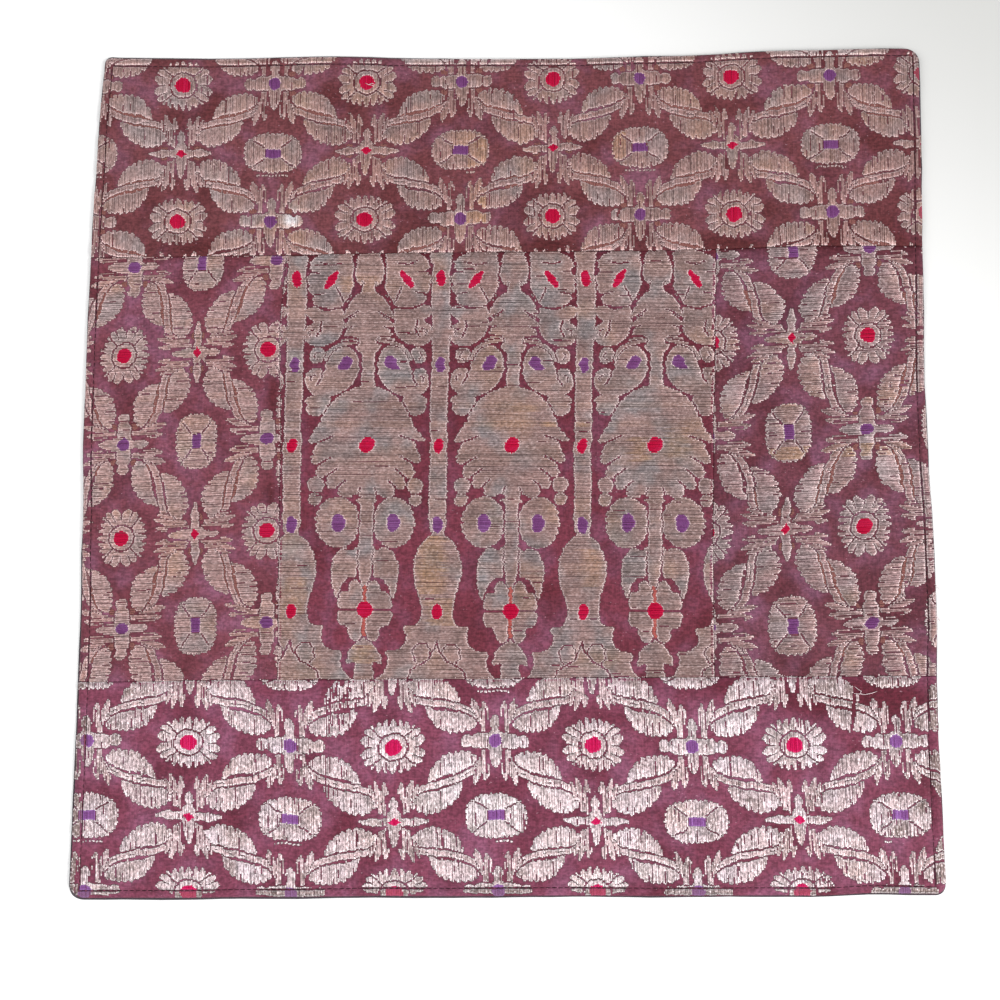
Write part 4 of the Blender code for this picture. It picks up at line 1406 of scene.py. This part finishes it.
# Dark lines where the ground shows between leaves. Columns: distance, height and half the width.
PLANT_LINES = (
    ((7.9, 101.5, 0.45), (7.6, 96, 0.45), (8.0, 91, 0.45), (7.2, 86, 0.45), (9.4, 82, 0.45),
     (12.6, 77, 0.45)),
    ((3.1, 89, 0.3), (3.4, 85.5, 0.3), (6.6, 83.4, 0.3)), ((16, 86, 0.4), (12.6, 79, 0.4)),
    ((14, 98.5, 0.4), (19, 97.4, 0.4), (23.5, 99, 0.4)), ((22.5, 83.5, 0.35), (27.5, 82.6, 0.35)),
    ((24.5, 93.6, 0.35), (28.6, 93.8, 0.35)), ((5.0, 74.3, 0.4), (8.4, 72.3, 0.4), (12.6, 70, 0.4)),
    ((8.2, 66.5, 0.35), (12.5, 65, 0.35)), ((5.8, 61.5, 0.35), (11.5, 61.8, 0.35)),
    ((23.6, 69.2, 0.5), (23.1, 65, 0.5), (25, 61.4, 0.5)),
    ((25.8, 65.4, 0.3), (28.6, 64.2, 0.3), (28, 61.8, 0.3)),
    ((21.6, 45.8, 0.45), (22.3, 41, 0.45), (24.6, 37.6, 0.45)),
    ((25, 42.6, 0.3), (27.6, 41.6, 0.3), (27, 39.4, 0.3)),
    ((24.4, 50, 0.3), (26.2, 51.6, 0.3), (25, 53.6, 0.3)),
    ((24.6, 9.3, 0.5), (16.5, 12.4, 0.45)), ((23, -1, 0.5), (17, 2.2, 0.45)),
    ((19.6, -7.5, 0.5), (14.5, -3.5, 0.45)), ((14.2, -12, 0.5), (10.5, -9, 0.4)),
    ((3.6, -12.5, 0.4), (4.6, -16, 0.4), (6.2, -18.5, 0.4)),
    ((3.5, -21, 0.35), (3.6, -34, 0.35), (5.5, -40, 0.4)), ((3.6, -43, 0.35), (3.8, -55, 0.35)),
    ((3.6, -71.5, 0.55), (12.8, -71.5, 0.55)), ((8.4, -57.2, 0.4), (11.6, -61.5, 0.4), (13.2, -66.5, 0.4)),
)
BAND_LINES_DARK = (
    ((0, -86, 0.45), (1.2, -90, 0.45), (4.5, -95, 0.45), (9, -97.4, 0.45), (12.6, -99.6, 0.45),
     (14.4, -105, 0.45)),
    ((3.2, -93, 0.35), (2.9, -90, 0.35), (5.4, -87.3, 0.35), (9, -87.3, 0.35), (11.6, -90, 0.35),
     (11.2, -94, 0.35), (9.4, -96.4, 0.35)),
)
SHOULDER = ((5.6, 59.6, 0.8), (12, 58.2, 0.8), (16, 56.6, 0.85), (18.9, 53.8, 0.85), (20.6, 50, 0.7))
EMBER_LINES = (((0, -60.5, 0.6), (0, -68, 0.8)), ((0, -75.5, 0.8), (0, -83.5, 0.7)))
# Dots of floss. Columns: floss, distance, height, half width, half height.
PLANT_DOTS = ((RED, 0, 8.0, 3.8, 3.8), (RED, 0, -71.5, 3.8, 3.9), (VIOLET, 13.2, -29.8, 3.2, 4.4))
BAND_DOTS = ((RED, 0, 90.5, 2.3, 4.1), (VIOLET, 0, 47.5, 2.3, 3.8), (RED, 0, 7.5, 2.4, 3.7),
             (VIOLET, 0, -30.6, 2.5, 4.0), (RED, 0, -72.2, 2.5, 3.8))
RED_BAR = ((16.2, 93.4, 1.1), (18.6, 89.8, 2.1), (20.8, 86.8, 1.3))
VIOLET_DROP = ((7.6, 48.8), (8.6, 51.2), (10.8, 52.0), (13.0, 50.4), (13.8, 48.0), (15.0, 45.6),
               (12.4, 44.8), (9.2, 46.0))
BUD_CENTRE = (13.5, -29.5)
BUD_SIZE = (10.9, 12.2)
BUD_SIDE = 3.9
# The leaves with toothed edges, and a tooth's width and depth on the bud and on them.
TOOTHED_LEAVES = ("blossom", "palm", "bell_second", "bell_third")
BUD_TOOTH = (3.1, 1.4)
PLANT_TOOTH = (2.6, 0.8)
CENTRE_SPAN = (-107, 108, -111, 106)
CENTRE_UNEVENNESS = (0.18, 0.17)
CENTRE_END_PULL = ((0.4, 15, 1), (0.2, 2.2, 3))
CENTRE_HEIGHT_PULL = ((0.5, 17, 2),)


def centre_cloth(a, y):
    """What the centre panel's cloth shows, by distance from the plant's middle line and height."""
    b = BAND_HALF - a
    cloth = np.full(a.shape, GROUND, np.int8)
    for outline in BAND_SHAPES.values():
        cloth[within(outline, b, y)] = METAL
    for line in BAND_LINES_DARK:
        cloth[on_stroke(line, b, y)] = GROUND
    cloth[within(PLANT_LEAVES["low_stem"], a, y)] = METAL
    bud_half = BUD_SIZE[0] - teeth(y, BUD_TOOTH[0]) * BUD_TOOTH[1]
    bud = ((a - BUD_CENTRE[0]) / bud_half) ** 2 + ((y - BUD_CENTRE[1]) / BUD_SIZE[1]) ** 2 < 1
    cloth[bud & (a > BUD_SIDE)] = METAL
    for name, outline in PLANT_LEAVES.items():
        notches = PLANT_TOOTH[1] * teeth(y, PLANT_TOOTH[0]) * (name in TOOTHED_LEAVES)
        cloth[within(outline, a + notches, y)] = METAL
    cloth[on_stroke(SHOULDER, a, y, 0.6)] = GROUND
    cloth[on_stroke(SHOULDER, a, y)] = METAL
    for line in PLANT_LINES:
        cloth[on_stroke(line, a, y)] = GROUND
    for line in EMBER_LINES:
        cloth[on_stroke(line, a, y)] = EMBER
    for across, dots in ((a, PLANT_DOTS), (b, BAND_DOTS)):
        for floss, *place in dots:
            cloth[out_of(place, across, y) < 1] = floss
    cloth[on_stroke(RED_BAR, a, y)] = RED
    cloth[within(VIOLET_DROP, a, y)] = VIOLET
    return cloth


def centre_field(seed):
    """The threads of the centre panel and what each shows at each place."""
    field = thread_field("centre", *CENTRE_SPAN, lean=0.0, origin=0.0, upright=False, seed=seed)
    x, y = field["x"], field["y"]
    end = pulled(field, x, CENTRE_END_PULL) + uneven_ends(field, *CENTRE_UNEVENNESS)
    height = pulled(field, y, CENTRE_HEIGHT_PULL)
    a, _ = fold(end, [edge_at(table, height) for table in BAND_LINES], BAND_HALF)
    field["cloth"] = centre_cloth(a, height)
    field["cloth"][~in_panel("centre", x, y)] = GROUND
    return field


threads["centre"] = lay_brocade(centre_field(200), 0.02, width=0.96, crown=0.14, unevenness=0.3)

# The stitching round the edge
# A line of dark sewing thread through all the layers, some 4 mm inside the folded edge. Each stitch
# pulls the cloth down, so the thick hem stands up along both sides of the line.
STITCH_LENGTH = 2.6
STITCH_GAP = 0.3
STITCH_WIDTH = 0.66
# How deep a sewn thread's edges lie below its crown, and how far its wear starts from its ends.
SEWN_DEPTH = 0.2
SEWN_END = 0.4
SEWN_SPAN = 207
TRACE_STEP = 0.2
# Columns: the share of a stitch's length, and its height above the silk there.
STITCH_SHAPE = ((0.0, 0.02), (0.10, 0.17), (0.5, 0.25), (0.90, 0.17), (1.0, 0.02))


def stitch_line(side):
    """Points along one side's line of stitching, from corner to corner."""
    place = np.arange(-SEWN_SPAN, SEWN_SPAN, TRACE_STEP)
    inwards = 1 if side in ("left", "bottom") else -1
    level = edge_at(OUTER_EDGES[side], place) + inwards * edge_at(STITCH_INSET[side], place)
    x, y = (level, place) if side in ("left", "right") else (place, level)
    kept = stitch_offset(x, y) > -0.1
    return x[kept], y[kept]


def far_along(x, y):
    """How far along a path each of its points lies."""
    return np.concatenate([[0], np.cumsum(np.hypot(np.diff(x), np.diff(y)))])


def threads_along(paths, width, depth):
    """Stations of threads that follow paths, whose points are x, y and the height above the silk."""
    parts = []
    for number, path in enumerate(paths):
        x, y, lift = np.asarray(path, float).T
        course_x, course_y = np.gradient(x), np.gradient(y)
        steepness = np.maximum(np.hypot(course_x, course_y), 1e-6)
        far = far_along(x, y)
        crown = face_height(x, y) + lift
        order = np.arange(len(x))
        parts.append({"x": x, "y": y, "crown": crown, "edge": crown - depth,
                      "side_x": -course_y / steepness * width / 2, "side_y": course_x / steepness * width / 2,
                      "first": order == 0, "last": order == len(x) - 1, "from_start": far + SEWN_END,
                      "to_end": far[-1] - far + SEWN_END, "number": np.full(len(x), number)})
    return {key: np.concatenate([part[key] for part in parts]) for key in parts[0]}


def sewn_piece(name, paths, width, finish):
    """A mesh of threads along their paths."""
    stations = threads_along(paths, width, SEWN_DEPTH)
    values = {key: stations[key] for key in ("from_start", "to_end", "number")}
    values["tone"] = 0.5 + 0.3 * np.sin(stations["number"] * 2.7)
    piece = thread_mesh(name, stations, values)
    piece.data.materials.append(finish)
    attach(piece, "root")
    return piece


sewing_thread = floss_finish("dark sewing thread", (0.026, 0.008, 0.012), (0.055, 0.020, 0.027))
stitches = {panel: [] for panel in BORDER_REPEATS}
stitch_shares, stitch_heights = np.array(STITCH_SHAPE).T
for side in SIDES:
    sewn_x, sewn_y = stitch_line(side)
    along = far_along(sewn_x, sewn_y)
    for begin in np.arange(STITCH_GAP, along[-1] - STITCH_LENGTH, STITCH_LENGTH + STITCH_GAP):
        at = begin + stitch_shares * STITCH_LENGTH
        stitch = np.stack([np.interp(at, along, sewn_x), np.interp(at, along, sewn_y), stitch_heights], -1)
        for panel in stitches:
            if in_panel(panel, stitch[2, 0], stitch[2, 1]):
                stitches[panel].append(stitch)
for panel, paths in stitches.items():
    threads[panel].append(sewn_piece(panel + "_stitching", paths, STITCH_WIDTH, sewing_thread))

# Loose and frayed ends
# Old metal thread comes away where the cloth is handled: one long end by the lower seam, one across
# a red dot, and short bright ends that stick out of the seams and of the right edge.
bright_metal = metal_finish("bright loose thread", (0.86, 0.70, 0.72), (0.86, 0.76, 0.78), GOLD, ROSE, PALE,
                            DULL, 0.1, 0.3)
LOOSE_WIDTH = 0.36
FRAY_REACH = (0.35, 1.1)
FRAY_SLANT = 0.7
# Columns: the share of a frayed end's length, and its height above the silk there.
FRAY_SHAPE = ((0.0, 0.0), (0.5, 0.28), (1.0, 0.22))
# Columns: x, y and height above the silk.
LOOSE_ENDS = {
    "bottom_border": (
        ((165.0, -106.0, 0.2), (166.0, -106.9, 0.45), (167.2, -107.8, 0.6), (168.2, -108.3, 0.65),
         (167.6, -109.1, 0.6), (168.2, -109.8, 0.6), (170.0, -109.8, 0.75), (172.0, -109.4, 0.85),
         (173.8, -108.9, 0.7), (175.4, -108.3, 0.45)),
        ((164.8, -109.4, 0.3), (166.2, -109.6, 0.4), (167.6, -109.6, 0.35), (168.7, -109.5, 0.3)),
    ),
    "top_border": (((-69.2, 190.8, 0.35), (-67.6, 189.9, 0.5), (-66.2, 189.7, 0.5), (-64.8, 189.2, 0.4)),
                   ((-67.4, 190.0, 0.45), (-66.0, 190.6, 0.5), (-65.0, 190.3, 0.4))),
    "right_border": (((203.6, -58.4, 0.2), (205.2, -59.2, 0.1), (206.4, -60.6, -0.4)),
                     ((203.2, -73.2, 0.2), (205.0, -73.8, 0.1), (206.0, -75.4, -0.5))),
}
# Columns: seam, whether it is upright, panel that the ends belong to, from, to, how many, and the
# side that they point to.
SEAM_FRAYS = (
    (LEFT_SEAM, True, "left_border", -98, 84, 70, 1), (LEFT_SEAM, True, "left_border", -70, 60, 60, -1),
    (RIGHT_SEAM, True, "right_border", -98, 98, 46, -1), (TOP_SEAM, False, "top_border", -200, 200, 90, -1),
    (BOTTOM_SEAM, False, "bottom_border", -200, 200, 70, 1),
)
fray_draw = np.random.default_rng(71)
frays = {panel: list(LOOSE_ENDS.get(panel, ())) for panel in BORDER_REPEATS}
for seam, upright, panel, low, high, count, side in SEAM_FRAYS:
    for place in fray_draw.uniform(low, high, count):
        reach, slant = fray_draw.uniform(*FRAY_REACH), fray_draw.uniform(-FRAY_SLANT, FRAY_SLANT)
        across = float(edge_at(seam, place)) - side * 0.1
        shape = [(across + side * reach * share, place + slant * share, lift) for share, lift in FRAY_SHAPE]
        frays[panel].append(shape if upright else [(b, a, lift) for a, b, lift in shape])
for panel, paths in frays.items():
    threads[panel].append(sewn_piece(panel + "_loose_ends", paths, LOOSE_WIDTH, bright_metal))

# The floor, the light and the camera
# A plain pale table, greyer towards the upper right as painted shade. Daylight comes from a window low on
# the right and from all round, and a white screen on the left softens the shadows.
FLOOR_SIZE = 4.0
FLOOR_DEPTH = 0.00005
GREYING = (0.0030, 0.0029, 0.0)
floor_mesh = bpy.data.meshes.new("table")
half = FLOOR_SIZE / 2
corners = [(x, y, -FLOOR_DEPTH) for x, y in ((-half, -half), (half, -half), (half, half), (-half, half))]
floor_mesh.from_pydata(corners, [], [(0, 1, 2, 3)])
floor = bpy.data.objects.new("table", floor_mesh)
bpy.context.scene.collection.objects.link(floor)
floor_material, floor_tree, floor_shader = new_material("pale table", 0.7)
far = add_node(floor_tree, "VectorMath", {0: cloth_places(floor_tree), 1: GREYING}, operation="DOT_PRODUCT")
# Painted shade: the table greyer towards the upper right.
shade = spread(floor_tree, far["Value"], 0.3, 1.5)
table_colour = blend_colours(floor_tree, shade, (0.93, 0.93, 0.93), (0.55, 0.55, 0.535))
fill(floor_tree, floor_shader.inputs["Base Color"], table_colour)
floor_mesh.materials.append(floor_material)

sky = bpy.data.worlds.new("daylight")
sky.use_nodes = True
sky.node_tree.nodes["Background"].inputs["Color"].default_value = (1.0, 1.0, 1.0, 1.0)
sky.node_tree.nodes["Background"].inputs["Strength"].default_value = 0.66
bpy.context.scene.world = sky

# Columns: name, direction from the cover, distance and diameter in metres, power in watts.
LIGHTS = (
    ("window", (0.66, -0.36, 0.64), 1.8, 0.9, 26.0),
    ("white screen", (-0.66, -0.10, 0.75), 1.1, 0.8, 4.0),
)
for name, direction, distance, size, power in LIGHTS:
    light = bpy.data.lights.new(name, "AREA")
    light.shape = "DISK"
    light.size = size
    light.energy = power
    lamp = bpy.data.objects.new(name, light)
    towards = Vector(direction).normalized()
    lamp.location = towards * distance
    lamp.rotation_euler = towards.to_track_quat("Z", "Y").to_euler()
    bpy.context.scene.collection.objects.link(lamp)

bpy.context.scene.view_settings.view_transform = "Standard"

camera = bpy.data.cameras.new("camera")
camera.lens = 50.0
camera.sensor_width = 36.0
camera.clip_start = 0.01
camera_object = bpy.data.objects.new("camera", camera)
camera_object.location = (0.0237, -0.1013, 0.662)
camera_object.rotation_euler = [math.radians(angle) for angle in (7.15, 2.09, 0.33)]
bpy.context.scene.collection.objects.link(camera_object)
bpy.context.scene.camera = camera_object
